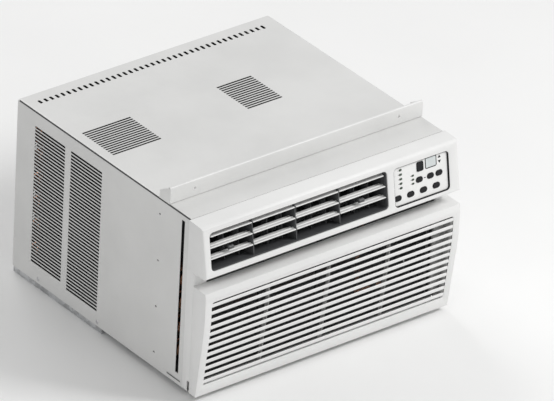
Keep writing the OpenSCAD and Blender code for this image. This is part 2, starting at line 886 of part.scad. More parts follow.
module drain_pan() {
    t = 3;
    x = [-284, 160];
    f = [436, 516];
    d = [332, body_h - pan_rise - 1.8];
    color("white") difference() {
        block(x, f, d);
        block([x[0] + t, x[1] - t], [f[0] + t, f[1] - t], [d[0] - 1, d[1] - t]);
    }
}

module compressor() {
    shell_r = 58;
    height = 186;
    dome = 22;
    low = 30;
    color("dimgray") translate([compressor_at[0], fy(compressor_at[1]), 0]) {
        translate([0, 0, low]) rotate_extrude() {
            square([shell_r, height - dome]);
            translate([0, height - dome]) intersection() {
                translate([0, -62]) circle(84.8);
                square([shell_r, 30]);
            }
        }
        difference() {
            translate([0, 0, low - 5]) linear_extrude(4.9) {
                circle(50);
                for (a = foot_angles) rotate(a) translate([0, -10]) square([foot_circle, 20]);
                for (a = foot_angles) rotate(a) translate([foot_circle, 0]) circle(16);
            }
            for (a = foot_angles) rotate(a) translate([foot_circle, 0, low - 6])
                cylinder(r = 8, h = 8);
        }
        translate([-84, 0, 60]) cylinder(r = 21, h = 110);
        translate([-64, 0, 90]) rotate([0, 90, 0]) cylinder(r = 5, h = 12);
    }
}

module compressor_grommets() {
    color("black") for (a = foot_angles)
        translate([compressor_at[0], fy(compressor_at[1]), 1.6]) rotate(a)
            translate([foot_circle, 0, 0]) rotate_extrude() {
                square([13, 23]);
                square([7.8, 29]);
                translate([0, 28.6]) square([12, 4]);
            }
}

module refrigerant_pipes() {
    r = 4;
    cx = compressor_at[0];
    cy = fy(compressor_at[1]);
    top_z = 250;
    coil_end = 267.5;
    tank_x = cx - 84;
    color("peru") {
        // discharge to the top of the condenser
        pipe([[cx, cy, 217], [cx, cy, top_z], [pipe_x, cy, top_z], [pipe_x, fy(56), top_z],
            [pipe_x, fy(56), 311.4], [pipe_x, fy(40), 311.4], [coil_end, fy(40), 311.4]], r);
        // suction from the evaporator
        pipe([[tank_x, cy, 170.5], [tank_x, cy, 196], [tank_x, fy(270), 196],
            [cx - 5, fy(270), 196], [cx - 5, fy(270), suction_z], [cx - 5, fy(488), suction_z],
            [136, fy(488), suction_z]], r);
        // capillary with its filter drier
        pipe([[coil_end, fy(24), 32], [pipe_x, fy(24), 32], [pipe_x, fy(100), 32],
            [pipe_x, fy(100), 150]], 3);
        rod([pipe_x, fy(100), 150], [pipe_x, fy(100), 215], 9);
    }
}

module drain_plug() {
    color("black") translate([drain_at[0], fy(drain_at[1]), 0]) {
        translate([0, 0, 1.6]) cylinder(r = 12, h = 2.4);
        cylinder(r = 8.9, h = 2);
    }
}

base_pan();
outer_case();
rear_grille();
top_rail();
bottom_rail();
case_screws();
front_bezel();
outlet_frame();
blower_scroll();
bulkhead();
evaporator_fins();
evaporator_tubes();
condenser_fins();
condenser_tubes();
fan_shroud();
compressor();
compressor_grommets();
refrigerant_pipes();
fan_motor();
motor_bracket();
control_box();
circuit_board();
run_capacitor();
control_overlay();
display_window();
cord_gland();
drain_plug();
drain_pan();
filter_frame();
filter_mesh();
inlet_grille();
grille_pins();
fan_shaft();
blower_wheel();
condenser_fan();
blade(0);  // blade_1
blade(1);  // blade_2
blade(2);  // blade_3
link_bar(0);  // left_link
link_bar(1);  // right_link
vane(0, 0);  // left_vane_1
vane(0, 1);  // left_vane_2
vane(0, 2);  // left_vane_3
vane(0, 3);  // left_vane_4
vane(0, 4);  // left_vane_5
vane(0, 5);  // left_vane_6
vane(1, 0);  // right_vane_1
vane(1, 1);  // right_vane_2
vane(1, 2);  // right_vane_3
vane(1, 3);  // right_vane_4
vane(1, 4);  // right_vane_5
vane(1, 5);  // right_vane_6
button(0);  // button_1
button(1);  // button_2
button(2);  // button_3
button(3);  // button_4
button(4);  // button_5
button(5);  // button_6
button(6);  // button_7
button(7);  // button_8
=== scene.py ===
import json
import math
import random

import bmesh
import bpy
from mathutils import Matrix, Vector


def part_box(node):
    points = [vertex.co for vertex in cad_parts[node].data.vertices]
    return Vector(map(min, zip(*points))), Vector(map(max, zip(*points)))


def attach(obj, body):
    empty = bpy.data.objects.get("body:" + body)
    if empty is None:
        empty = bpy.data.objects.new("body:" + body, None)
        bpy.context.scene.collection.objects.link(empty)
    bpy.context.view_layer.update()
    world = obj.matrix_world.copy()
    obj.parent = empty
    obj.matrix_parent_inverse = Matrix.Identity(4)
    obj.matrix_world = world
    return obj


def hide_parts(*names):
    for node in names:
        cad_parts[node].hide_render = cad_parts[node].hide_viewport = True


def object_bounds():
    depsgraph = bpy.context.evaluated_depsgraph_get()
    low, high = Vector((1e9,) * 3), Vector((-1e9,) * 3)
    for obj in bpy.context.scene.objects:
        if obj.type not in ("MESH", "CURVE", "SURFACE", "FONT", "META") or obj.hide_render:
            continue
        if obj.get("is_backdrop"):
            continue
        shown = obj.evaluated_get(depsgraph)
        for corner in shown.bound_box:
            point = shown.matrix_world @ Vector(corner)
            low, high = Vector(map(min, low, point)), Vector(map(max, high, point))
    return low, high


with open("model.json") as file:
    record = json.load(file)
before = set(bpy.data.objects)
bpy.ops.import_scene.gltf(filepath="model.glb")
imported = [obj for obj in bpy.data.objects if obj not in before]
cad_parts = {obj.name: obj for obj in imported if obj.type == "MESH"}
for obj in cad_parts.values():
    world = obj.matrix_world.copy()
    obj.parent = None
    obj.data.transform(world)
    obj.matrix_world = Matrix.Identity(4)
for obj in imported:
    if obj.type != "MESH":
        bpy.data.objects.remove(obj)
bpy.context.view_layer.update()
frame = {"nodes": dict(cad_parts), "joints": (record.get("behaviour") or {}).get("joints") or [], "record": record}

MM = 0.001
RECORD = frame["record"]
NODES = frame["nodes"]
JOINTS = {joint["name"]: joint for joint in frame["joints"]}
rng = random.Random(7)


# ---------- measures, in metres, from the frame ----------

HALF_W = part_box("front_bezel")[1].x
HALF_CASE, BACK_Y, CASE_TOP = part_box("outer_case")[1]

# the sloping face of the front: the buttons press straight into it
press = JOINTS["button_1_press"]["axis"]
LEAN = math.atan2(-press[2], press[1])
WALL = 2.5 * MM


def fy(from_back):
    """Y of a point that many millimetres in front of the rear edge."""
    return BACK_Y - from_back * MM


def dz(down):
    """Z of a point that many millimetres below the top of the case."""
    return CASE_TOP - down * MM


def back_and_down(point):
    """The same two measures, read off a point."""
    return round((BACK_Y - point[1]) / MM, 3), round((CASE_TOP - point[2]) / MM, 3)


FACE = Matrix.Translation((0, fy(570), dz(4))) @ Matrix.Rotation(-LEAN, 4, "X")


def on_face(x, into, along):
    """A point on the sloping face, from millimetres across, into the body and down the face."""
    return FACE @ Vector((x * MM, into * MM, -along * MM))


def face_patch(node, depths, border):
    """Centre across, centre down the face, width and height, in millimetres, of a plate lying
    between two depths in the face, less its border."""
    low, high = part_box(node)
    front, back = depths
    size = (high - low) / MM
    middle = (low + high) / 2
    fall = (FACE.translation.z - middle.z) / MM
    along = (fall - (front + back) / 2 * math.sin(LEAN)) / math.cos(LEAN)
    height = (size.z - (back - front) * math.sin(LEAN)) / math.cos(LEAN)
    patch = (middle.x / MM, along, size.x - 2 * border, height - 2 * border)
    return [round(value, 2) for value in patch]


# ---------- mesh helpers ----------

def rounded_outline(width, height, radius, steps=8):
    """Points round a rectangle with round corners, centred, counter-clockwise."""
    radius = max(min(radius, width / 2, height / 2), 1e-6)
    points = []
    corners = ((1, 1, 0), (-1, 1, 90), (-1, -1, 180), (1, -1, 270))
    for sx, sz, start in corners:
        cx, cz = sx * (width / 2 - radius), sz * (height / 2 - radius)
        for i in range(steps + 1):
            a = math.radians(start + 90 * i / steps)
            points.append((cx + radius * math.cos(a), cz + radius * math.sin(a)))
    return points


def add_rings(bm, rings, closed=False):
    """Skins a list of rings of points; the end rings are capped unless the skin closes on itself."""
    made = [[bm.verts.new(p) for p in ring] for ring in rings]
    pairs = list(zip(made, made[1:]))
    if closed:
        pairs.append((made[-1], made[0]))
    for a, b in pairs:
        for i in range(len(a)):
            j = (i + 1) % len(a)
            bm.faces.new((a[i], a[j], b[j], b[i]))
    if not closed:
        bm.faces.new(list(reversed(made[0])))
        bm.faces.new(made[-1])
    return made


def add_prism(bm, outline, along):
    """A closed outline of points, swept by a vector."""
    step = Vector(along)
    add_rings(bm, [[Vector(p) for p in outline], [Vector(p) + step for p in outline]])


def add_slab_x(bm, outline, x0, x1):
    """An outline in (from back, down), in millimetres, swept across from x0 to x1, in metres."""
    add_prism(bm, [(x0, fy(f), dz(d)) for f, d in outline], (x1 - x0, 0, 0))


def add_block(bm, x, from_back, down):
    """A box from its corners: across, from back, down, in millimetres."""
    outline = [(from_back[0], down[0]), (from_back[1], down[0]),
               (from_back[1], down[1]), (from_back[0], down[1])]
    add_slab_x(bm, outline, x[0] * MM, x[1] * MM)


def add_face_slab(bm, outline, centre, into):
    """An outline in (across, up the face) round a centre on the face, from one depth to another."""
    rings = [[on_face(centre[0] + px, depth, centre[1] - pz) for px, pz in outline]
             for depth in into]
    add_rings(bm, rings)


def add_lathe(bm, profile, origin, axis, turns=48):
    """Turns a profile of (radius, height) about an axis. Points on the axis close it."""
    spin = Vector((0, 0, 1)).rotation_difference(Vector(axis)).to_matrix().to_4x4()
    place = Matrix.Translation(origin) @ spin
    rows = []
    for radius, height in profile:
        if radius < 1e-7:
            rows.append([bm.verts.new(place @ Vector((0, 0, height)))])
            continue
        rows.append([bm.verts.new(place @ Vector((radius * math.cos(a), radius * math.sin(a), height)))
                     for a in (2 * math.pi * i / turns for i in range(turns))])
    loops = list(zip(rows, rows[1:]))
    if len(rows[0]) > 1 and len(rows[-1]) > 1:
        loops.append((rows[-1], rows[0]))
    for a, b in loops:
        for i in range(turns):
            j = (i + 1) % turns
            corners = [a[i % len(a)], a[j % len(a)], b[j % len(b)], b[i % len(b)]]
            unique = list(dict.fromkeys(corners))
            if len(unique) > 2:
                bm.faces.new(unique)


def add_tube(bm, points, radius, sides=10):
    """A round rod along a list of points."""
    rings = []
    side = None
    for i, p in enumerate(points):
        before = points[max(i - 1, 0)]
        after = points[min(i + 1, len(points) - 1)]
        ahead = (after - before).normalized()
        if side is None:
            side = ahead.orthogonal().normalized()
        side = (side - ahead * side.dot(ahead)).normalized()
        up = ahead.cross(side)
        rings.append([p + radius * (side * math.cos(a) + up * math.sin(a))
                      for a in (2 * math.pi * k / sides for k in range(sides))])
    add_rings(bm, rings)


def bevel_where(bm, test, width, segments=4):
    """Rounds the edges whose two end points pass a test."""
    edges = [e for e in bm.edges if test(e.verts[0].co, e.verts[1].co)]
    bmesh.ops.bevel(bm, geom=edges, offset=width, segments=segments, profile=0.5,
                    affect="EDGES", clamp_overlap=True)


def make_object(name, bm):
    bmesh.ops.recalc_face_normals(bm, faces=bm.faces)
    mesh = bpy.data.meshes.new(name)
    bm.to_mesh(mesh)
    bm.free()
    obj = bpy.data.objects.new(name, mesh)
    bpy.context.scene.collection.objects.link(obj)
    return obj


def bake(obj):
    """Applies an object's modifiers."""
    graph = bpy.context.evaluated_depsgraph_get()
    mesh = bpy.data.meshes.new_from_object(obj.evaluated_get(graph), depsgraph=graph)
    obj.modifiers.clear()
    obj.data = mesh


def carve(obj, cutters, operation="DIFFERENCE"):
    """Cuts a list of bmeshes out of an object, or joins them to it."""
    tools = []
    for i, bm in enumerate(cutters):
        tool = make_object(f"cutter_{i}", bm)
        step = obj.modifiers.new("carve", "BOOLEAN")
        step.operation = operation
        step.solver = "EXACT"
        step.object = tool
        tools.append(tool)
    bake(obj)
    for tool in tools:
        bpy.data.objects.remove(tool)


def soften(obj, width, segments=2, angle=35):
    """Rounds every sharp edge of a made piece a little."""
    step = obj.modifiers.new("soften", "BEVEL")
    step.width = width
    step.segments = segments
    step.limit_method = "ANGLE"
    step.angle_limit = math.radians(angle)
    step.use_clamp_overlap = True
    bake(obj)


def finish_piece(obj, body, material, stands_for=(), angle=32):
    """Shading, material and body of a made piece; hides the CAD parts it stands for."""
    if not obj.data.polygons:
        raise ValueError(f"{obj.name} has no faces")
    obj.data.materials.clear()
    obj.data.materials.append(material)
    obj.data.shade_smooth()
    obj.data.set_sharp_from_angle(angle=math.radians(angle))
    if stands_for:
        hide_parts(*stands_for)
    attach(obj, body)
    return obj


# ---------- materials ----------

class Shader:
    """A Principled material with object coordinates and a few helpers."""

    def __init__(self, name, colour, roughness, metallic=0.0):
        self.material = bpy.data.materials.new(name)
        self.material.use_nodes = True
        self.tree = self.material.node_tree
        self.surface = self.tree.nodes["Principled BSDF"]
        self.set("Base Color", (*colour, 1.0))
        self.set("Roughness", roughness)
        self.set("Metallic", metallic)
        self.coordinates = self.add("ShaderNodeTexCoord").outputs["Object"]
        self.normal = None

    def add(self, kind, **values):
        node = self.tree.nodes.new(kind)
        for key, value in values.items():
            setattr(node, key, value)
        return node

    def set(self, socket, value):
        self.surface.inputs[socket].default_value = value

    def link(self, output, target):
        self.tree.links.new(output, target)

    def stretched(self, scale):
        """Object coordinates scaled differently along each axis."""
        mapping = self.add("ShaderNodeMapping")
        mapping.inputs["Scale"].default_value = scale
        self.link(self.coordinates, mapping.inputs["Vector"])
        return mapping.outputs["Vector"]

    def noise(self, scale, detail=3.0, where=None):
        node = self.add("ShaderNodeTexNoise")
        node.inputs["Scale"].default_value = scale
        node.inputs["Detail"].default_value = detail
        self.link(where or self.coordinates, node.inputs["Vector"])
        return node.outputs["Fac"]

    def cells(self, scale, output="Distance", feature="F1", where=None):
        node = self.add("ShaderNodeTexVoronoi", feature=feature)
        node.inputs["Scale"].default_value = scale
        self.link(where or self.coordinates, node.inputs["Vector"])
        return node.outputs[output]

    def ramp(self, value, low, high, start=0.3, end=0.7):
        """Maps a value between two greys or colours."""
        node = self.add("ShaderNodeValToRGB")
        node.color_ramp.elements[0].position = start
        node.color_ramp.elements[1].position = end
        node.color_ramp.elements[0].color = (*low, 1.0)
        node.color_ramp.elements[1].color = (*high, 1.0)
        self.link(value, node.inputs["Fac"])
        return node.outputs["Color"]

    def span(self, value, low, high):
        """Maps a value from 0..1 to low..high."""
        node = self.add("ShaderNodeMapRange")
        node.inputs["From Min"].default_value = 0.25
        node.inputs["From Max"].default_value = 0.75
        node.inputs["To Min"].default_value = low
        node.inputs["To Max"].default_value = high
        self.link(value, node.inputs["Value"])
        return node.outputs["Result"]

    def outside_paint_inside_shade(self, paint, primer_as_shade):
        """Paint on the outer half of the case sheets; near-black primer on the inner half, partly painted shade.
        """
        middle = 0.6 * MM
        axes = self.add("ShaderNodeSeparateXYZ")
        self.link(self.coordinates, axes.inputs["Vector"])
        aside = self.add("ShaderNodeMath", operation="ABSOLUTE")
        self.link(axes.outputs["X"], aside.inputs[0])
        outside = None
        for value, limit in ((aside.outputs["Value"], HALF_CASE - middle),
                             (axes.outputs["Y"], fy(3) - middle),
                             (axes.outputs["Z"], CASE_TOP - middle)):
            past = self.add("ShaderNodeMath", operation="GREATER_THAN")
            self.link(value, past.inputs[0])
            past.inputs[1].default_value = limit
            if outside is not None:
                both = self.add("ShaderNodeMath", operation="MAXIMUM")
                self.link(outside, both.inputs[0])
                self.link(past.outputs["Value"], both.inputs[1])
                past = both
            outside = past.outputs["Value"]
        mix = self.add("ShaderNodeMix", data_type="RGBA")
        self.link(outside, mix.inputs["Factor"])
        mix.inputs["A"].default_value = (*primer_as_shade, 1.0)
        self.link(paint, mix.inputs["B"])
        return mix.outputs["Result"]

    def colour_from(self, value, low, high, start=0.3, end=0.7):
        self.link(self.ramp(value, low, high, start, end), self.surface.inputs["Base Color"])

    def roughness_from(self, value, low, high):
        self.link(self.span(value, low, high), self.surface.inputs["Roughness"])

    def bump(self, value, strength, distance):
        node = self.add("ShaderNodeBump")
        node.inputs["Strength"].default_value = strength
        node.inputs["Distance"].default_value = distance
        self.link(value, node.inputs["Height"])
        if self.normal is not None:
            self.link(self.normal, node.inputs["Normal"])
        self.normal = node.outputs["Normal"]
        self.link(self.normal, self.surface.inputs["Normal"])


def tint(colour, factor):
    return tuple(min(c * factor, 1.0) for c in colour)


def enamel(name, colour, primed_and_shaded_inside=False):
    """Baked enamel on sheet steel: orange peel, faint clouding and handling marks; a primed inside is partly
    painted shade.
    """
    s = Shader(name, colour, 0.38)
    paint = s.ramp(s.noise(7.0, 5.0), tint(colour, 0.955), tint(colour, 1.02), 0.35, 0.65)
    if primed_and_shaded_inside:
        # near-black primer on the inner half: partly real primer, partly painted shade inside the case
        paint = s.outside_paint_inside_shade(paint, (0.055, 0.056, 0.058))
    s.link(paint, s.surface.inputs["Base Color"])
    s.roughness_from(s.noise(38.0, 6.0), 0.30, 0.46)
    s.bump(s.noise(620.0, 2.0), 0.10, 0.0003)
    s.set("Coat Weight", 0.15)
    s.set("Coat Roughness", 0.25)
    return s.material


def moulded(name, colour, rough=0.46, grain=1500.0, depth=0.16, gloss=0.5):
    """Injection-moulded plastic: fine spark-eroded grain and faint flow shading."""
    s = Shader(name, colour, rough)
    s.set("Specular IOR Level", gloss)
    s.colour_from(s.noise(5.0, 4.0), tint(colour, 0.97), tint(colour, 1.015), 0.35, 0.65)
    s.roughness_from(s.noise(55.0, 5.0), rough - 0.07, rough + 0.07)
    s.bump(s.cells(grain), depth, 0.0002)
    s.bump(s.noise(26.0, 2.0), 0.05, 0.0008)
    return s.material


def galvanised(name, colour=(0.60, 0.61, 0.62)):
    """Zinc-coated sheet: crystal spangle of differing brightness and gloss."""
    s = Shader(name, colour, 0.42, 1.0)
    crystal = s.cells(95.0, "Color")
    grey = s.add("ShaderNodeRGBToBW")
    s.link(crystal, grey.inputs["Color"])
    s.colour_from(grey.outputs["Val"], tint(colour, 0.78), tint(colour, 1.12), 0.2, 0.8)
    s.roughness_from(grey.outputs["Val"], 0.34, 0.55)
    s.bump(s.noise(240.0, 4.0), 0.12, 0.0003)
    return s.material


def turned_steel(name, colour=(0.68, 0.68, 0.69)):
    """Bright steel with fine tool marks."""
    s = Shader(name, colour, 0.28, 1.0)
    s.colour_from(s.noise(60.0, 6.0), tint(colour, 0.86), tint(colour, 1.05))
    s.roughness_from(s.noise(180.0, 5.0), 0.2, 0.38)
    s.bump(s.noise(900.0, 2.0, s.stretched((1.0, 0.05, 1.0))), 0.15, 0.0002)
    return s.material


def fin_foil(name, colour=(0.78, 0.79, 0.80)):
    """Thin aluminium foil with a hydrophilic coat, and some dust."""
    s = Shader(name, colour, 0.36, 1.0)
    s.colour_from(s.noise(16.0, 6.0), tint(colour, 0.82), tint(colour, 1.04))
    s.roughness_from(s.noise(90.0, 4.0), 0.28, 0.48)
    s.bump(s.noise(420.0, 3.0, s.stretched((1.0, 1.0, 0.1))), 0.2, 0.0003)
    return s.material


def copper(name, colour=(0.74, 0.38, 0.24)):
    """Drawn copper, tarnished in patches."""
    s = Shader(name, colour, 0.3, 1.0)
    s.colour_from(s.noise(34.0, 6.0), (0.40, 0.19, 0.12), colour, 0.34, 0.6)
    s.roughness_from(s.noise(120.0, 5.0), 0.22, 0.5)
    s.bump(s.noise(700.0, 2.0, s.stretched((0.05, 1.0, 1.0))), 0.1, 0.0002)
    return s.material


def rubber(name, colour=(0.035, 0.035, 0.037)):
    s = Shader(name, colour, 0.7)
    s.colour_from(s.noise(45.0, 5.0), tint(colour, 0.7), tint(colour, 1.9))
    s.roughness_from(s.noise(140.0, 4.0), 0.6, 0.82)
    s.bump(s.noise(1400.0, 3.0), 0.25, 0.0002)
    return s.material


def bead_foam(name, colour=(0.84, 0.84, 0.82)):
    """Moulded bead foam: the beads show as cells."""
    s = Shader(name, colour, 0.7)
    s.colour_from(s.cells(260.0), tint(colour, 1.04), tint(colour, 0.88), 0.2, 0.7)
    s.bump(s.cells(260.0), 0.5, -0.0008)
    s.bump(s.noise(12.0, 3.0), 0.1, 0.002)
    return s.material


def gloss_black(name, colour=(0.022, 0.022, 0.024)):
    """Dipped black paint on a pressing, slightly dusty."""
    s = Shader(name, colour, 0.25)
    s.colour_from(s.noise(20.0, 6.0), colour, tint(colour, 3.2), 0.45, 0.75)
    s.roughness_from(s.noise(60.0, 5.0), 0.16, 0.42)
    s.bump(s.noise(150.0, 3.0), 0.12, 0.0006)
    s.set("Coat Weight", 0.3)
    s.set("Coat Roughness", 0.12)
    return s.material


def board_green(name, colour=(0.035, 0.20, 0.085)):
    """Solder-masked board with a pattern of tracks."""
    s = Shader(name, colour, 0.35)
    tracks = s.add("ShaderNodeTexBrick")
    tracks.inputs["Scale"].default_value = 110.0
    tracks.inputs["Mortar Size"].default_value = 0.05
    tracks.inputs["Color1"].default_value = (*colour, 1.0)
    tracks.inputs["Color2"].default_value = (*tint(colour, 0.8), 1.0)
    tracks.inputs["Mortar"].default_value = (*tint(colour, 1.9), 1.0)
    turn = s.add("ShaderNodeMapping")
    turn.inputs["Rotation"].default_value = (math.pi / 2, 0, 0)
    s.link(s.coordinates, turn.inputs["Vector"])
    s.link(turn.outputs["Vector"], tracks.inputs["Vector"])
    s.link(tracks.outputs["Color"], s.surface.inputs["Base Color"])
    s.bump(tracks.outputs["Fac"], 0.3, 0.0002)
    s.set("Coat Weight", 0.4)
    return s.material


def woven(name, colour=(0.10, 0.105, 0.11)):
    """Knitted nylon filter thread."""
    s = Shader(name, colour, 0.62)
    s.colour_from(s.noise(25.0, 5.0), tint(colour, 0.7), tint(colour, 1.6))
    s.bump(s.noise(2600.0, 2.0), 0.3, 0.0002)
    s.set("Sheen Weight", 0.2)
    return s.material


def lamp_lens(name, colour):
    """A small coloured indicator lens, unlit."""
    s = Shader(name, colour, 0.2)
    s.colour_from(s.noise(400.0, 2.0), tint(colour, 0.8), tint(colour, 1.1))
    s.bump(s.cells(1800.0), 0.2, 0.0002)
    s.set("Coat Weight", 0.6)
    return s.material


def smoked(name, colour=(0.62, 0.66, 0.66)):
    """The display window: a pale, glossy, slightly clouded lens."""
    s = Shader(name, colour, 0.12)
    s.colour_from(s.noise(30.0, 3.0), tint(colour, 0.92), tint(colour, 1.05))
    s.bump(s.noise(60.0, 2.0), 0.03, 0.0004)
    s.set("Coat Weight", 0.8)
    s.set("Coat Roughness", 0.03)
    return s.material


WHITE = (0.78, 0.78, 0.772)
LOOK = {
    "case_paint": enamel("case_paint", (0.70, 0.70, 0.69), True),
    "rail_steel": enamel("rail_paint", (0.74, 0.74, 0.73)),
    "front_plastic": moulded("front_plastic", WHITE),
    "grille_plastic": moulded("grille_plastic", WHITE),
    "blade_plastic": moulded("blade_plastic", (0.80, 0.80, 0.79), 0.4),
    "grey_plastic": moulded("grey_plastic", (0.062, 0.064, 0.067), 0.5),
    "dark_plastic": moulded("dark_plastic", (0.045, 0.046, 0.05), 0.52),
    "button_plastic": moulded("button_plastic", (0.014, 0.014, 0.016), 0.5, 2200.0, 0.1, 0.2),
    "overlay": moulded("overlay_film", (0.82, 0.82, 0.81), 0.3, 2600.0, 0.08),
    "window": smoked("display_lens"),
    "zinc_steel": galvanised("zinc_steel"),
    "bright_steel": turned_steel("bright_steel"),
    "fin_aluminium": fin_foil("fin_foil"),
    "can_aluminium": turned_steel("can_aluminium", (0.74, 0.75, 0.76)),
    "copper": copper("copper_tube"),
    "black_paint": gloss_black("black_paint"),
    "rubber": rubber("black_rubber"),
    "foam": bead_foam("bead_foam", (0.075, 0.077, 0.08)),
    "board": board_green("board_green"),
    "mesh": woven("filter_thread"),
}

for entry in RECORD["subparts"]:
    cad = NODES[entry["node"]]
    cad.data.materials.clear()
    cad.data.materials.append(LOOK[entry["material_slot"]])


# ---------- moulded front ----------

PANEL_DEPTH = 5
OVERLAY_DEPTH = 3.8
FLANGE_DEPTH = 7.1
FLANGE = 1.2
OUTLET_X, OUTLET_V, OUTLET_W, OUTLET_H = face_patch("outlet_frame", (3, 48), -0.3)
PANEL_X, PANEL_V, PANEL_W, PANEL_H = face_patch("control_overlay", (OVERLAY_DEPTH, PANEL_DEPTH), -1.8)
DISPLAY = face_patch("display_window", (3.5, PANEL_DEPTH), 0)
BUTTONS = [face_patch(f"button_{i}", (FLANGE_DEPTH, FLANGE_DEPTH + FLANGE), FLANGE)
           for i in range(1, 9)]
HINGE = back_and_down(JOINTS["grille_tilt"]["pos_m"])
LUG = (288.3, 292)
LUG_R = 5.2
RELIEF = (545, 336)
GRILLE_LIFT = JOINTS["grille_lift"]["range_m"][1] / MM


def button_radius(button):
    return 3.5 if button[3] > button[2] else button[3] / 2


def bezel_body():
    bm = bmesh.new()
    outline = [(531, 0.5), (534, 0.5), (565, 1.5), (570, 4), (587, 103), (531, 103)]
    add_slab_x(bm, outline, -HALF_W, HALF_W)
    end = HALF_W - 1e-5
    front_top = fy(569)

    def front_corner(a, b):
        return abs(a.x) > end and abs(b.x) > end and max(a.y, b.y) < front_top

    def rest_of_end(a, b):
        return abs(a.x) > end and abs(b.x) > end and max(a.y, b.y) < fy(531.5)

    def front_edge(a, b):
        return abs(a.x - b.x) > 0.1 and max(a.y, b.y) < front_top

    bevel_where(bm, front_corner, 8 * MM, 7)
    bevel_where(bm, lambda a, b: rest_of_end(a, b) or front_edge(a, b), 2.4 * MM, 4)
    shell = make_object("bezel_shell", bm)

    cavity = bmesh.new()
    inner = [(529, 3), (534, 3), (564, 4), (567.4, 6.5), (584, 100.5), (529, 100.5)]
    add_slab_x(cavity, inner, -HALF_W + WALL, HALF_W - WALL)
    outlet = bmesh.new()
    add_face_slab(outlet, rounded_outline(OUTLET_W, OUTLET_H, 9, 10), (OUTLET_X, OUTLET_V), (-2, 9))
    carve(shell, [cavity, outlet])

    pocket = bmesh.new()
    outline = rounded_outline(PANEL_W + 3.6, PANEL_H + 3.6, 9.8, 10)
    add_face_slab(pocket, outline, (PANEL_X, PANEL_V), (0.8, PANEL_DEPTH + 2))
    carve(shell, [pocket], "UNION")
    recess = bmesh.new()
    add_face_slab(recess, rounded_outline(PANEL_W, PANEL_H, 8, 10), (PANEL_X, PANEL_V),
                  (-2, PANEL_DEPTH))
    holes = bmesh.new()
    for button in BUTTONS:
        x, v, w, h = button
        outline = rounded_outline(w + 0.8, h + 0.8, button_radius(button) + 0.4, 6)
        add_face_slab(holes, outline, (x, v), (0, 10))
    x, v, w, h = DISPLAY
    add_face_slab(holes, rounded_outline(w - 3, h - 3, 1, 4), (x, v), (0, 10))
    carve(shell, [recess, holes])
    return shell


def bezel_frame():
    """The lower frame round the filter, with its channels and hinge lugs."""
    bm = bmesh.new()
    add_block(bm, (-300, 300), (531, 552), (102.9, 363))
    end = HALF_W - 1e-5

    def upright_corner(a, b):
        return abs(a.x) > end and abs(b.x) > end and abs(a.y - b.y) > 0.01 and a.z < dz(350)

    bevel_where(bm, upright_corner, 9 * MM, 5)
    frame_piece = make_object("bezel_frame", bm)
    opening = bmesh.new()
    add_block(opening, (-270, 270), (530, 553), (101, 345))
    channel = bmesh.new()
    add_block(channel, (-277.8, 277.8), (540.7, 547.3), (101, 344.8))
    relief = bmesh.new()
    add_block(relief, (-301, 301), (RELIEF[0], 553), (RELIEF[1], 364))
    hollows = []
    for side in (-1, 1):
        hollow = bmesh.new()
        reach = sorted((side * 280.5, side * 297.5))
        add_block(hollow, reach, (530, 549.5), (104.9, 360))
        hollows.append(hollow)
    carve(frame_piece, [opening, channel, relief, *hollows])
    lugs = bmesh.new()
    slot_half = 3.15
    top = HINGE[1] - GRILLE_LIFT
    for side in (-1, 1):
        a, b = sorted((side * LUG[0] * MM, side * LUG[1] * MM))
        low = HINGE[1] + LUG_R
        outer = [(540, low), (540, top - 8), (HINGE[0] + 3, top - 8), (HINGE[0] + LUG_R, top - 6)]
        outer += [(HINGE[0] + LUG_R * math.cos(t), HINGE[1] + LUG_R * math.sin(t))
                  for t in (math.pi * i / 16 for i in range(9))]
        cut = [(HINGE[0] + slot_half * math.cos(t), top - slot_half * math.sin(t))
               for t in (math.pi * i / 8 for i in range(9))]
        cut += [(HINGE[0] - slot_half * math.cos(t), HINGE[1] + slot_half * math.sin(t))
                for t in (math.pi * i / 8 for i in range(9))]
        lug = bmesh.new()
        add_slab_x(lug, outer, a, b)
        lug_piece = make_object("lug", lug)
        slot_cut = bmesh.new()
        add_slab_x(slot_cut, cut, a - MM, b + MM)
        carve(lug_piece, [slot_cut])
        lugs.from_mesh(lug_piece.data)
        bpy.data.objects.remove(lug_piece)
    join_mesh(frame_piece, lugs)
    return frame_piece


def join_mesh(obj, bm):
    """Adds a bmesh to an object's mesh as further closed shells."""
    bmesh.ops.recalc_face_normals(bm, faces=bm.faces)
    whole = bmesh.new()
    whole.from_mesh(obj.data)
    extra = bpy.data.meshes.new("extra")
    bm.to_mesh(extra)
    bm.free()
    whole.from_mesh(extra)
    whole.to_mesh(obj.data)
    whole.free()
    bpy.data.meshes.remove(extra)


def build_bezel():
    shell = bezel_body()
    soften(shell, 0.5 * MM, 2, 50)
    lower = bezel_frame()
    soften(lower, 0.4 * MM, 2, 50)
    extra = bmesh.new()
    extra.from_mesh(lower.data)
    bpy.data.objects.remove(lower)
    join_mesh(shell, extra)
    shell.name = "bezel_shell"
    finish_piece(shell, "chassis", LOOK["front_plastic"], ["front_bezel"])


build_bezel()


# ---------- inlet grille ----------

GRILLE_BACK = 552.5
grille_low, grille_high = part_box("inlet_grille")
GRILLE_FRONT = (BACK_Y - grille_low.y) / MM
GRILLE_TOP, GRILLE_LOW = back_and_down(grille_high)[1], back_and_down(grille_low)[1]
GRILLE_BEND, GRILLE_SLOPE = 205, 0.118
WINDOW_TOP, WINDOW_LOW, GRILLE_SIDE = 152, 338, 15
SLATS = 12


def grille_front(down):
    return GRILLE_FRONT - max(0, down - GRILLE_BEND) * GRILLE_SLOPE


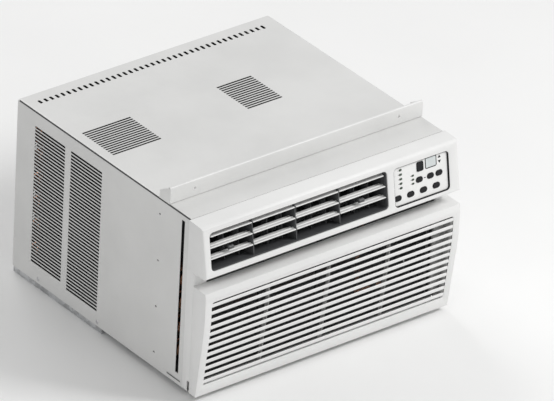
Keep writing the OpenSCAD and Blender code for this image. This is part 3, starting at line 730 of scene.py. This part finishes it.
def slat_outline(down):
    """A slat's section: a tall rounded nose and a tail that falls to the back."""
    f = grille_front(down) - 0.4
    nose, crown = 3.6, 1.5
    points = []
    for sign in (-1, 1):
        for i in range(5):
            t = math.radians(90 - 22.5 * i if sign < 0 else 22.5 * i)
            rise = nose - crown + crown * math.sin(t)
            points.append((f - crown + crown * math.cos(t), down + sign * rise))
    points.append((f - 4, down + nose + 0.9))
    points.append((f - 12.6, down + 7.6))
    points.append((f - 13, down + 6.6))
    points.append((f - 12.4, down + 5.4))
    return points


def grille_frame():
    bm = bmesh.new()
    low_front = grille_front(GRILLE_LOW)
    outline = [(GRILLE_BACK, GRILLE_TOP), (GRILLE_FRONT - 2, GRILLE_TOP),
               (GRILLE_FRONT, GRILLE_TOP + 12), (GRILLE_FRONT, GRILLE_BEND - 14),
               (grille_front(GRILLE_BEND + 18), GRILLE_BEND + 18),
               (low_front, GRILLE_LOW), (GRILLE_BACK, GRILLE_LOW)]
    add_slab_x(bm, outline, -HALF_W, HALF_W)
    end = HALF_W - 1e-5

    def lower_corner(a, b):
        return (abs(a.x) > end and abs(b.x) > end and abs(a.y - b.y) > 0.01
                and abs(a.z - dz(GRILLE_LOW)) < 1e-5)

    bevel_where(bm, lower_corner, 9 * MM, 6)

    def front_rim(a, b):
        ahead = max(a.y, b.y) < fy(GRILLE_BACK + 8)
        sideways = abs(a.x - b.x) > 0.3
        on_rim = (abs(a.z - b.z) > 1e-4 or abs(a.x - b.x) > 1e-4)
        outer = abs(a.x) > HALF_W - 0.0091 and abs(b.x) > HALF_W - 0.0091
        top_or_low = sideways and (a.z > dz(GRILLE_TOP + 2) or a.z < dz(GRILLE_LOW - 2))
        return ahead and on_rim and (outer or top_or_low)

    bevel_where(bm, front_rim, 2.6 * MM, 4)
    shell = make_object("grille_front", bm)

    cavity = bmesh.new()
    w = WALL / MM
    inner = [(GRILLE_BACK - 2, GRILLE_TOP + w), (GRILLE_FRONT - w - 1, GRILLE_TOP + w),
             (GRILLE_FRONT - w, GRILLE_TOP + 13), (GRILLE_FRONT - w, GRILLE_BEND - 10),
             (low_front - w, GRILLE_LOW - w), (GRILLE_BACK - 2, GRILLE_LOW - w)]
    add_slab_x(cavity, inner, -HALF_W + WALL, HALF_W - WALL)
    corner = HALF_W - WALL - 1e-5

    def inner_corner(a, b):
        return (abs(a.x) > corner and abs(b.x) > corner and abs(a.y - b.y) > 0.01
                and abs(a.z - dz(GRILLE_LOW - w)) < 1e-5)

    bevel_where(cavity, inner_corner, 7 * MM, 5)
    window = bmesh.new()
    height = WINDOW_LOW - WINDOW_TOP
    middle = (WINDOW_TOP + WINDOW_LOW) / 2
    rim = rounded_outline(2 * (HALF_W / MM - GRILLE_SIDE), height, 6, 6)
    add_rings(window, [[Vector((x * MM, fy(f), dz(middle - z))) for x, z in rim]
                       for f in (GRILLE_BACK - 2, GRILLE_FRONT + 2)])
    notches = bmesh.new()
    for side in (-1, 1):
        reach = sorted((side * (LUG[0] - 0.8), side * (LUG[1] + 0.5)))
        add_block(notches, reach, (GRILLE_BACK - 2, HINGE[0] + 13), (GRILLE_LOW - 5, GRILLE_LOW + 2))
    carve(shell, [cavity, window, notches])
    return shell


def grille_inner():
    """Slats, ribs behind them, the return round the window, and the hinge ears."""
    bm = bmesh.new()
    half = HALF_W - GRILLE_SIDE * MM
    pitch = (WINDOW_LOW - WINDOW_TOP) / SLATS
    for i in range(SLATS):
        down = WINDOW_TOP + (i + 0.5) * pitch
        add_slab_x(bm, slat_outline(down), -half - 0.5 * MM, half + 0.5 * MM)
    for x in (-half / 2, 0, half / 2):
        rib = [(GRILLE_FRONT - 20, WINDOW_TOP - 4), (GRILLE_FRONT - 11, WINDOW_TOP - 4),
               (GRILLE_FRONT - 11, GRILLE_BEND),
               (grille_front(WINDOW_LOW) - 11, WINDOW_LOW + 4),
               (grille_front(WINDOW_LOW) - 20, WINDOW_LOW + 4),
               (GRILLE_FRONT - 20, GRILLE_BEND)]
        add_slab_x(bm, rib, x - 0.8 * MM, x + 0.8 * MM)
    for side in (-1, 1):
        wall_outline = [(GRILLE_FRONT - 18, WINDOW_TOP - 1), (GRILLE_FRONT - 1, WINDOW_TOP - 1),
                        (GRILLE_FRONT - 1, GRILLE_BEND - 5),
                        (grille_front(WINDOW_LOW) - 1, WINDOW_LOW + 1),
                        (grille_front(WINDOW_LOW) - 14, WINDOW_LOW + 1),
                        (GRILLE_FRONT - 18, GRILLE_BEND)]
        a, b = sorted((side * half, side * (half + 2 * MM)))
        add_slab_x(bm, wall_outline, a, b)
        reach = (HALF_W - WALL - (LUG[1] + 0.5) * MM) + 0.2 * MM
        origin = Vector((side * (LUG[1] + 0.5) * MM, fy(HINGE[0]), dz(HINGE[1])))
        ear = [(3.06 * MM, 0), (3.06 * MM, reach), (6 * MM, reach), (6 * MM, 0.4 * MM),
               (5.6 * MM, 0)]
        add_lathe(bm, ear, origin, (side, 0, 0), 32)
    return bm


def build_grille():
    shell = grille_frame()
    soften(shell, 0.5 * MM, 2, 50)
    join_mesh(shell, grille_inner())
    finish_piece(shell, "grille", LOOK["grille_plastic"], ["inlet_grille"], 38)


build_grille()


# ---------- buttons, lamps and marks on the panel ----------

def face_rings(bm, centre, size, radius, steps, corner_steps, least, closed=False):
    """Rounded outlines on the face, one for each (inset, depth), skinned into a block or a ring."""
    x, v = centre
    w, h = size
    rings = []
    for inset, depth in steps:
        corner = max(radius - inset, least)
        outline = rounded_outline(w - 2 * inset, h - 2 * inset, corner, corner_steps)
        rings.append([on_face(x + px, depth, v - pz) for px, pz in outline])
    add_rings(bm, rings, closed)


def build_buttons():
    for i, button in enumerate(BUTTONS):
        x, v, w, h = button
        r = button_radius(button)
        crown = OVERLAY_DEPTH - 1.6
        steps = [(0, FLANGE_DEPTH), (0, crown + 0.9), (0.18, crown + 0.42), (0.6, crown + 0.12),
                 (1.3, crown + 0.02), (2.6, crown + 0.10), (4.2, crown + 0.22)]
        bm = bmesh.new()
        face_rings(bm, (x, v), (w, h), r, steps, 8, 0.3)
        add_face_slab(bm, rounded_outline(w + 2 * FLANGE, h + 2 * FLANGE, r + FLANGE, 8), (x, v),
                      (FLANGE_DEPTH + 0.01, FLANGE_DEPTH + FLANGE))
        stem = Vector(press)
        add_lathe(bm, [(0, 0), (2 * MM, 0), (2 * MM, 2.2 * MM), (1.7 * MM, 2.4 * MM), (0, 2.4 * MM)],
                  on_face(x, FLANGE_DEPTH + 1.21, v), stem, 24)
        cap = make_object(f"button_cap_{i + 1}", bm)
        name = f"button_{i + 1}"
        finish_piece(cap, name, LOOK["button_plastic"], [name], 30)


build_buttons()

LAMPS = [(163.5, 20, 4.8), (163.5, 29, 4.8), (163.5, 38, 4.8), (163.5, 47, 4.8), (163.5, 56, 4.8),
         (192.0, 39.5, 4.2), (192.0, 47.5, 4.2), (192.0, 55.5, 4.2)]


def build_panel_details():
    lens = lamp_lens("lamp_lens", (0.03, 0.05, 0.03))
    bm = bmesh.new()
    for x, v, size in LAMPS:
        steps = ((0, 3.85), (0, 3.5), (0.3, 3.2), (0.9, 3.05))
        face_rings(bm, (x, v), (size * 1.5, size), size / 2, steps, 6, 0.2)
    lamps = make_object("indicator_lamps", bm)
    finish_piece(lamps, "chassis", lens)

    ink = moulded("panel_ink", (0.014, 0.014, 0.016), 0.5, 2600.0, 0.06, 0.15)
    bm = bmesh.new()
    marks = [(220.3, 51.5, 4.6, 1.6)]
    for x, v, size in LAMPS:
        marks.append((x - size * 1.1, v, 1.6, 1.1))
    for x, v, w, h in marks:
        add_face_slab(bm, rounded_outline(w, h, h / 2, 4), (x, v), (3.86, 3.7))
    for sign, v in ((1, 19.6), (-1, 29.4)):
        tip = [(0, 3.4 * sign), (-3.8, -2.4 * sign), (3.8, -2.4 * sign)]
        add_face_slab(bm, tip, (256.5, v), (3.86, 3.7))
    ink_marks = make_object("panel_marks", bm)
    finish_piece(ink_marks, "chassis", ink)

    def bordering(name, centre, outer_size, width, radius, top, floor):
        """A ring that follows a rounded rectangle: outer edge, crown, inner edge."""
        bm = bmesh.new()
        steps = ((0, floor), (0, top + 0.25), (width * 0.3, top), (width * 0.7, top),
                 (width, top + 0.25), (width, floor))
        face_rings(bm, centre, outer_size, radius, steps, 8, 0.3, closed=True)
        ring = make_object(name, bm)
        finish_piece(ring, "chassis", LOOK["button_plastic"])

    x, v, w, h = DISPLAY
    bordering("display_border", (x, v), (w + 3.4, h + 3.4), 2.0, 3.4, 3.3, 3.86)
    # Black liner on the recess walls: partly a gasket, partly painted shade on the walls of the panel recess.
    bordering("panel_gasket_shade_liner", (PANEL_X, PANEL_V), (PANEL_W - 0.1, PANEL_H - 0.1), 0.75, 7.9, 0.25,
              PANEL_DEPTH - 0.02)


build_panel_details()


# ---------- louvre lips behind the case's slits ----------

LOUVRE_PITCH = 7.2
LOUVRE_GAP = 4.6


def lip(bm, start, along, inward, away, length):
    """One pressed louvre: a leaf that slopes inward under its slit, with a web at each end."""
    leaf = [(-0.05, 0.35), (-0.05, -0.35), (2.3, 2.9), (4.0, 3.9), (3.9, 4.5), (2.0, 3.6)]
    web = [(0.0, 0.1), (3.9, 4.3), (0.0, LOUVRE_GAP - 0.2)]
    for section, at, width in ((leaf, 0, length), (web, -0.4, 0.5), (web, length - 0.1, 0.5)):
        outline = [start + along * at * MM + inward * i * MM + away * j * MM for i, j in section]
        add_prism(bm, outline, along * width * MM)


def build_louvres():
    bm = bmesh.new()
    down = Vector((0, 0, -1))
    forward = Vector((0, -1, 0))
    sheet = 1.2 * MM
    for side in (-1, 1):
        for f, width, low in ((56, 94, 331), (168, 96, 332)):
            for i in range(int((low - 29) / LOUVRE_PITCH)):
                d = 29 + (i + 0.5) * LOUVRE_PITCH - LOUVRE_GAP / 2
                start = Vector((side * (HALF_CASE - sheet), fy(f), dz(d)))
                lip(bm, start, forward, Vector((-side, 0, 0)), down, width)
    for x, width in ((26, 112), (341, 82)):
        for i in range(14):
            start = Vector((-HALF_W + x * MM, fy(172 + i * LOUVRE_PITCH + LOUVRE_GAP), CASE_TOP - sheet))
            lip(bm, start, Vector((1, 0, 0)), down, -forward, width)
    louvres = make_object("case_louvres", bm)
    # The lips lie inside the sheets, so case_paint gives them its near-black primer: painted shade under the
    # slits.
    finish_piece(louvres, "chassis", LOOK["case_paint"], angle=40)


build_louvres()


# ---------- rails ----------

def bent_sheet(points, thickness, radius):
    """The outline of a sheet of one thickness that follows a line with round bends."""
    path = []
    for i, p in enumerate(points):
        if i in (0, len(points) - 1):
            path.append(Vector(p))
            continue
        a = (Vector(points[i - 1]) - Vector(p)).normalized()
        b = (Vector(points[i + 1]) - Vector(p)).normalized()
        first, last = Vector(p) + a * radius, Vector(p) + b * radius
        for k in range(7):
            t = k / 6
            path.append((1 - t) ** 2 * first + 2 * t * (1 - t) * Vector(p) + t * t * last)
    left, right = [], []
    for i, p in enumerate(path):
        ahead = (path[min(i + 1, len(path) - 1)] - path[max(i - 1, 0)]).normalized()
        across = Vector((-ahead.y, ahead.x)) * thickness / 2
        left.append(p + across)
        right.append(p - across)
    return left + list(reversed(right))


def build_rails():
    t = 1.6
    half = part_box("top_rail")[1].x
    low = 435
    front = 468
    top = -35
    bm = bmesh.new()
    line = [(low, -t / 2), (front - t / 2, -t / 2), (front - t / 2, top + t / 2),
            (front - t - 4, top + t / 2), (front - t - 4, top + 4)]
    add_slab_x(bm, bent_sheet(line, t, 2.2), -half, half)
    rail = make_object("sash_rail", bm)
    holes = bmesh.new()
    for x in (-0.24, 0.24):
        add_lathe(holes, [(0, -4 * MM), (2.75 * MM, -4 * MM), (2.75 * MM, 4 * MM), (0, 4 * MM)],
                  (x, fy(front), dz(-17.5)), (0, 1, 0), 32)
    carve(rail, [holes])
    ends = bmesh.new()
    for side in (-1, 1):
        a, b = sorted((side * half, side * (half - t * MM)))
        gusset = [(low + 1, -t), (front - t, -t), (front - t, top + t + 0.4), (front - 7, top + 4),
                  (low + 3, -18), (low + 1, -16)]
        add_slab_x(ends, gusset, a, b)
        lip = [(low + 3, -18), (front - 7, top + 4), (front - 8, top + 6.5), (low + 3, -16)]
        c, d = sorted((side * (half - t * MM), side * (half - 6 * MM)))
        add_slab_x(ends, lip, c, d)
    join_mesh(rail, ends)
    soften(rail, 0.25 * MM, 1, 50)
    finish_piece(rail, "chassis", LOOK["rail_steel"], ["top_rail"])

    low_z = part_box("bottom_rail")[0].z
    high_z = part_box("bottom_rail")[1].z
    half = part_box("bottom_rail")[1].x
    height = (high_z - low_z) / MM
    base = CASE_TOP / MM
    bm = bmesh.new()
    line = [(437 + t / 2, base), (437 + t / 2, base - height + t / 2),
            (462 - t / 2, base - height + t / 2), (462 - t / 2, base)]
    add_slab_x(bm, bent_sheet(line, t, 2.0), -half, half)
    sill = make_object("sill_rail", bm)
    finish_piece(sill, "chassis", LOOK["rail_steel"], ["bottom_rail"])


build_rails()


# ---------- screws ----------

def screw_mesh(bm, origin, axis):
    head = [(0, 1.78), (1.6, 1.72), (2.9, 1.4), (3.7, 0.8), (4.0, 0.25), (4.0, 0), (1.55, 0),
            (1.55, -3.2), (1.2, -4.0), (0, -4.0)]
    add_lathe(bm, [(r * MM, h * MM) for r, h in head], origin, axis, 32)


def build_screws():
    places = []
    for f in (81, 267):
        for side in (-1, 1):
            places.append((Vector((side * HALF_CASE, fy(f), dz(351))), Vector((side, 0, 0))))
    for x in (-0.24, 0.24):
        places.append((Vector((x, fy(451.5), dz(-1.6))), Vector((0, 0, 1))))
    bm = bmesh.new()
    for origin, axis in places:
        screw_mesh(bm, origin, axis)
    screws = make_object("case_screw_set", bm)
    cuts = [bmesh.new(), bmesh.new()]
    for origin, axis in places:
        turn = Vector((0, 0, 1)).rotation_difference(axis).to_matrix().to_4x4()
        place = Matrix.Translation(origin) @ turn @ Matrix.Rotation(rng.uniform(0, 1.5), 4, "Z")
        for quarter, cut in enumerate(cuts):
            arm = Matrix.Rotation(quarter * math.pi / 2, 4, "Z")
            low = [(-0.9, -0.35), (0.9, -0.35), (0.9, 0.35), (-0.9, 0.35)]
            high = [(-2.1, -0.5), (2.1, -0.5), (2.1, 0.5), (-2.1, 0.5)]
            rings = [[place @ arm @ Vector((x * MM, y * MM, h * MM)) for x, y in ring]
                     for ring, h in ((low, 0.5), (high, 2.2))]
            add_rings(cut, rings)
    for cut in cuts:
        carve(screws, [cut])
    finish_piece(screws, "chassis", LOOK["bright_steel"], ["case_screws"])


build_screws()


# ---------- coils ----------

def corrugated_fins(name, node, pitch, material_slot):
    """Close-set fins with a shallow corrugation across their depth."""
    low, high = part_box(node)
    count = int((high.x - low.x) / pitch)
    folds = 8
    thick = 0.00012
    bm = bmesh.new()
    for i in range(count):
        x = low.x + 0.0004 + (i + 0.5) * (high.x - low.x - 0.0008) / count
        front_line, back_line = [], []
        for k in range(folds + 1):
            y = low.y + (high.y - low.y) * k / folds
            wave = (pitch * 0.22 if k % 2 else -pitch * 0.22)
            front_line.append((x + wave - thick / 2, y))
            back_line.append((x + wave + thick / 2, y))
        outline = [(px, py, low.z) for px, py in front_line + list(reversed(back_line))]
        add_prism(bm, outline, (0, 0, high.z - low.z))
    fins = make_object(name, bm)
    finish_piece(fins, "chassis", LOOK[material_slot], [node], 12)


corrugated_fins("condenser_fin_pack", "condenser_fins", 0.0022, "fin_aluminium")
corrugated_fins("evaporator_fin_pack", "evaporator_fins", 0.0020, "fin_aluminium")


# ---------- filter ----------

def build_filter_weave():
    """Crossed threads in each of the filter's four cells."""
    low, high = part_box("filter_mesh")
    frame_low, frame_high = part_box("filter_frame")
    bar = 9 * MM
    cell = (frame_high.x - frame_low.x - 5 * bar) / 4
    middle = (low.y + high.y) / 2
    thread = 0.32 * MM
    pitch = 2.1 * MM
    bm = bmesh.new()
    for c in range(4):
        x0 = frame_low.x + bar + c * (cell + bar)
        x1 = x0 + cell
        n = int(cell / pitch)
        for i in range(1, n):
            x = x0 + cell * i / n
            outline = [(x - thread / 2, middle - thread, low.z), (x + thread / 2, middle - thread, low.z),
                       (x + thread / 2, middle, low.z), (x - thread / 2, middle, low.z)]
            add_prism(bm, outline, (0, 0, high.z - low.z))
        m = int((high.z - low.z) / pitch)
        for j in range(1, m):
            z = low.z + (high.z - low.z) * j / m
            outline = [(x0, middle, z - thread / 2), (x0, middle + thread, z - thread / 2),
                       (x0, middle + thread, z + thread / 2), (x0, middle, z + thread / 2)]
            add_prism(bm, outline, (x1 - x0, 0, 0))
    weave = make_object("filter_weave", bm)
    finish_piece(weave, "filter", LOOK["mesh"], ["filter_mesh"])


build_filter_weave()


# ---------- fans ----------

shaft_low, shaft_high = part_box("fan_shaft")
AXIS = Vector(((shaft_low.x + shaft_high.x) / 2, 0, (shaft_low.z + shaft_high.z) / 2))
SHAFT_R = (shaft_high.x - shaft_low.x) / 2
BACKWARD = Vector((0, 1, 0))


def around(angle, radius, from_back):
    """A point round the fan axis."""
    out = radius * MM
    return Vector((AXIS.x + out * math.sin(angle), fy(from_back), AXIS.z + out * math.cos(angle)))


def rear_blade(bm, turn):
    """One swept, twisted and cambered fan blade."""
    spans, chords, half = 12, 12, 0.95
    top, under = [], []
    for i in range(spans + 1):
        r = 23 + (142.6 - 23) * i / spans
        sweep = math.radians(14) * (i / spans) ** 1.6
        half_chord = math.radians(24 + 7 * math.sin(math.pi * min(i / spans, 1)))
        rise = 30 - 10 * i / spans
        row_a, row_b = [], []
        for k in range(chords + 1):
            u = 2 * k / chords - 1
            angle = turn + sweep + u * half_chord
            camber = 3.2 * (1 - u * u)
            edge = half * (1 - abs(u) ** 4 * 0.75)
            depth = 88 + u * rise / 2 + camber
            row_a.append(bm.verts.new(around(angle, r, depth + edge)))
            row_b.append(bm.verts.new(around(angle, r, depth - edge)))
        top.append(row_a)
        under.append(row_b)
    for i in range(spans):
        for k in range(chords):
            bm.faces.new((top[i][k], top[i][k + 1], top[i + 1][k + 1], top[i + 1][k]))
            bm.faces.new((under[i][k], under[i + 1][k], under[i + 1][k + 1], under[i][k + 1]))
        bm.faces.new((top[i][0], top[i + 1][0], under[i + 1][0], under[i][0]))
        bm.faces.new((top[i][-1], under[i][-1], under[i + 1][-1], top[i + 1][-1]))
    for k in range(chords):
        bm.faces.new((top[0][k], under[0][k], under[0][k + 1], top[0][k + 1]))
        bm.faces.new((top[-1][k], top[-1][k + 1], under[-1][k + 1], under[-1][k]))


def build_rear_fan():
    bm = bmesh.new()
    bore = SHAFT_R / MM
    hub = [(bore, 0), (bore, 32), (14, 32), (14, 29), (22, 29), (25, 27.5), (26, 25), (26, 3),
           (25, 0.6), (24, 0)]
    add_lathe(bm, [(r * MM, h * MM) for r, h in hub], around(0, 0, 104), BACKWARD, 64)
    ring = [(143, 0.4), (143, 9.6), (143.6, 10), (145.4, 10), (146, 9.4), (146, 0.6), (145.4, 0),
            (143.6, 0)]
    add_lathe(bm, [(r * MM, h * MM) for r, h in ring], around(0, 0, 84), BACKWARD, 96)
    for i in range(5):
        rear_blade(bm, 2 * math.pi * i / 5)
    fan = make_object("rear_fan", bm)
    finish_piece(fan, "rotor", LOOK["dark_plastic"], ["condenser_fan"], 40)


def build_blower():
    low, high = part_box("blower_wheel")
    outer = (high.x - low.x) / 2 / MM
    front, back = (BACK_Y - low.y) / MM, (BACK_Y - high.y) / MM
    length = front - back
    bore = SHAFT_R / MM
    bm = bmesh.new()
    disc = [(bore, length - 39), (17, length - 39), (18, length - 38), (18, length - 9), (20, length - 4),
            (24, length - 3), (outer, length - 3), (outer, length), (24, length),
            (bore, length - 5)]
    add_lathe(bm, [(r * MM, h * MM) for r, h in disc], around(0, 0, front), BACKWARD, 64)
    ring = [(outer - 15, 0), (outer - 1, 0), (outer, 1), (outer, 3), (outer - 14, 3), (outer - 15, 2)]
    add_lathe(bm, [(r * MM, h * MM) for r, h in ring], around(0, 0, front), BACKWARD, 96)
    blades = 44
    for i in range(blades):
        turn = 2 * math.pi * i / blades
        convex, concave = [], []
        for k in range(7):
            u = k / 6
            r = outer - 15 + 14 * u
            bend = turn + math.radians(9) * u * u
            convex.append((r, bend + 0.55 / r))
            concave.append((r, bend - 0.55 / r))
        outline = [around(a, r, front - 2) for r, a in convex + list(reversed(concave))]
        add_prism(bm, outline, BACKWARD * (length - 4) * MM)
    wheel = make_object("blower_drum", bm)
    finish_piece(wheel, "rotor", LOOK["dark_plastic"], ["blower_wheel"], 40)


build_rear_fan()
build_blower()


# ---------- details of the machine ----------

def ring_profile(radius, width, height, base):
    """A small round bead running round a cylinder."""
    points = []
    for i in range(9):
        t = math.pi * i / 8
        points.append(((radius + width * math.sin(t)) * MM, (base - height * math.cos(t)) * MM))
    inner = (radius - 0.4) * MM
    return [(inner, (base - height) * MM), *points, (inner, (base + height) * MM)]


def build_compressor_details():
    up = Vector((0, 0, 1))
    axis = Vector((0.205, fy(185), 0))
    bm = bmesh.new()
    add_lathe(bm, ring_profile(58, 2.2, 2.6, 148), axis, up, 64)
    add_lathe(bm, ring_profile(58, 1.4, 1.6, 38), axis, up, 64)
    tank = axis + Vector((-84 * MM, 0, 0))
    for z in (66, 164):
        add_lathe(bm, ring_profile(21, 1.1, 1.4, z), tank, up, 40)
    for z in (96, 138):
        add_lathe(bm, [(20.8 * MM, z * MM), (21.9 * MM, z * MM), (21.9 * MM, (z + 9) * MM),
                       (20.8 * MM, (z + 9) * MM)], tank, up, 40)
    seams = make_object("compressor_seams", bm)
    finish_piece(seams, "chassis", LOOK["black_paint"])

    bm = bmesh.new()
    cover = [(-17, 88), (17, 88), (17, 140), (13, 146), (-13, 146), (-17, 140)]
    outline = [axis + Vector((x * MM, -0.050, z * MM)) for x, z in cover]
    add_prism(bm, outline, (0, -0.021, 0))
    lid = make_object("terminal_cover", bm)
    soften(lid, 2 * MM, 3)
    finish_piece(lid, "chassis", LOOK["dark_plastic"])


def build_motor_details():
    bm = bmesh.new()
    for k in range(4):
        angle = math.pi / 4 + k * math.pi / 2
        start, end = around(angle, 56, 253), around(angle, 56, 147.2)
        add_tube(bm, [start, end], 2 * MM, 12)
        for at, out in ((start, -BACKWARD), (end, BACKWARD)):
            nut = [(0, 0), (4 * MM, 0), (4 * MM, 2.4 * MM), (3.4 * MM, 3 * MM), (0, 3 * MM)]
            add_lathe(bm, nut, at - out * 1.5 * MM, out, 6)
    for from_back in range(176, 228, 4):
        profile = [(61.6, 0), (62.7, 0.3), (62.7, 1.5), (61.6, 1.8)]
        add_lathe(bm, [(r * MM, h * MM) for r, h in profile], around(0, 0, from_back), -BACKWARD, 72)
    trim = make_object("motor_trim", bm)
    finish_piece(trim, "chassis", LOOK["zinc_steel"])


def build_board_parts():
    dark = bmesh.new()
    silver = bmesh.new()
    for x, v, w, h, tall in ((170, 32, 18, 12, 4.5), (196, 58, 9, 6, 3), (224, 38, 12, 10, 6),
                             (262, 38, 10, 8, 5), (172, 60, 7, 5, 3)):
        add_face_slab(dark, rounded_outline(w, h, 0.6, 3), (x, v), (15.2, 15.2 + tall))
        for k in range(int(w / 3)):
            for side in (-1, 1):
                at = (x - w / 2 + 1.5 + 3 * k, v + side * (h / 2 + 0.8))
                add_face_slab(silver, rounded_outline(0.8, 1.6, 0.3, 2), at, (15.2, 15.9))
    for x, v, r, tall in ((186, 22, 3.5, 9), (270, 60, 3, 8), (250, 62, 2.5, 7)):
        turn = Vector(press)
        can = [(0, 0), (r, 0), (r, tall - 0.6), (r - 0.6, tall), (0, tall)]
        add_lathe(silver, [(a * MM, b * MM) for a, b in can], on_face(x, 15.1, v), turn, 24)
    chips = make_object("board_chips", dark)
    finish_piece(chips, "chassis", LOOK["dark_plastic"])
    pins = make_object("board_pins", silver)
    finish_piece(pins, "chassis", LOOK["bright_steel"])


def build_capacitor_rim():
    low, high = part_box("run_capacitor")
    axis = Vector(((low.x + high.x) / 2, (low.y + high.y) / 2, low.z))
    bm = bmesh.new()
    radius = (high.x - low.x) / 2 / MM
    add_lathe(bm, ring_profile(radius - 0.5, 0.5, 1.3, 70.6), axis, Vector((0, 0, 1)), 48)
    rim = make_object("capacitor_rim", bm)
    finish_piece(rim, "chassis", LOOK["can_aluminium"])
    bm = bmesh.new()
    for x in (-8, 8):
        foot = axis + Vector((x * MM, 2 * MM, 71.8 * MM))
        add_lathe(bm, [(0, 0), (4.6 * MM, 0), (4.6 * MM, 1.6 * MM), (3.4 * MM, 2.6 * MM), (0, 2.6 * MM)],
                  foot, Vector((0, 0, 1)), 24)
    caps = make_object("capacitor_insulators", bm)
    finish_piece(caps, "chassis", LOOK["dark_plastic"])


build_compressor_details()
build_motor_details()
build_board_parts()
build_capacitor_rim()


# ---------- small roundings on the pieces that keep their CAD mesh ----------

for name in NODES:
    if name.startswith(("blade", "left_", "right_")) or name in ("outlet_frame", "control_box",
                                                                 "filter_frame", "drain_pan"):
        step = NODES[name].modifiers.new("edge", "BEVEL")
        step.width = 0.3 * MM
        step.segments = 2
        step.limit_method = "ANGLE"
        step.angle_limit = math.radians(40)


# ---------- stage, light and camera ----------

def build_stage():
    """A flat pale floor, and soft light from large lamps."""
    floor = Shader("floor", (0.90, 0.90, 0.895), 0.75)
    floor.colour_from(floor.noise(3.0, 4.0), (0.89, 0.89, 0.885), (0.91, 0.91, 0.905))
    bm = bmesh.new()
    reach = 9.0
    corners = [(-reach, -reach), (reach, -reach), (reach, reach), (-reach, reach)]
    bm.faces.new([bm.verts.new((x, y, -0.0006)) for x, y in corners])
    ground = make_object("floor", bm)
    ground.data.materials.append(floor.material)
    ground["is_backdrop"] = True

    world = bpy.data.worlds.new("studio")
    world.use_nodes = True
    world.node_tree.nodes["Background"].inputs["Color"].default_value = (1.0, 1.0, 1.0, 1.0)
    world.node_tree.nodes["Background"].inputs["Strength"].default_value = 0.46
    bpy.context.scene.world = world

    def lamp(name, place, size, power):
        data = bpy.data.lights.new(name, "AREA")
        data.shape = "SQUARE"
        data.size = size
        data.energy = power
        obj = bpy.data.objects.new(name, data)
        bpy.context.scene.collection.objects.link(obj)
        obj.location = place
        aim = Vector((0, 0, 0.2)) - Vector(place)
        obj.rotation_euler = aim.to_track_quat("-Z", "Y").to_euler()

    lamp("key", (1.9, -2.2, 3.0), 1.2, 88)
    lamp("fill", (-3.2, -1.6, 1.4), 2.4, 15)
    lamp("back", (0.4, 3.0, 2.8), 2.0, 40)


def build_camera():
    """A long lens from the front left, above, with the small roll of the view."""
    low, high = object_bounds()
    azimuth, elevation, roll = math.radians(-39.5), math.radians(30.2), math.radians(3.07)
    distance = 14.0
    frame_width = 1.0388
    data = bpy.data.cameras.new("camera")
    data.sensor_width = 36.0
    data.lens = data.sensor_width * distance / frame_width
    data.clip_end = 100.0
    camera = bpy.data.objects.new("camera", data)
    bpy.context.scene.collection.objects.link(camera)
    back = Vector((math.sin(azimuth) * math.cos(elevation), -math.cos(azimuth) * math.cos(elevation),
                   math.sin(elevation)))
    level = Vector((math.cos(azimuth), math.sin(azimuth), 0))
    rise = back.cross(level)
    right = level * math.cos(roll) + rise * math.sin(roll)
    up = rise * math.cos(roll) - level * math.sin(roll)
    centre = (low + high) / 2 + right * 0.076 - up * 0.002
    turn = Matrix((right, up, back)).transposed().to_4x4()
    camera.matrix_world = Matrix.Translation(centre + back * distance) @ turn
    bpy.context.scene.camera = camera


build_stage()
build_camera()
bpy.context.scene.view_settings.view_transform = "Standard"
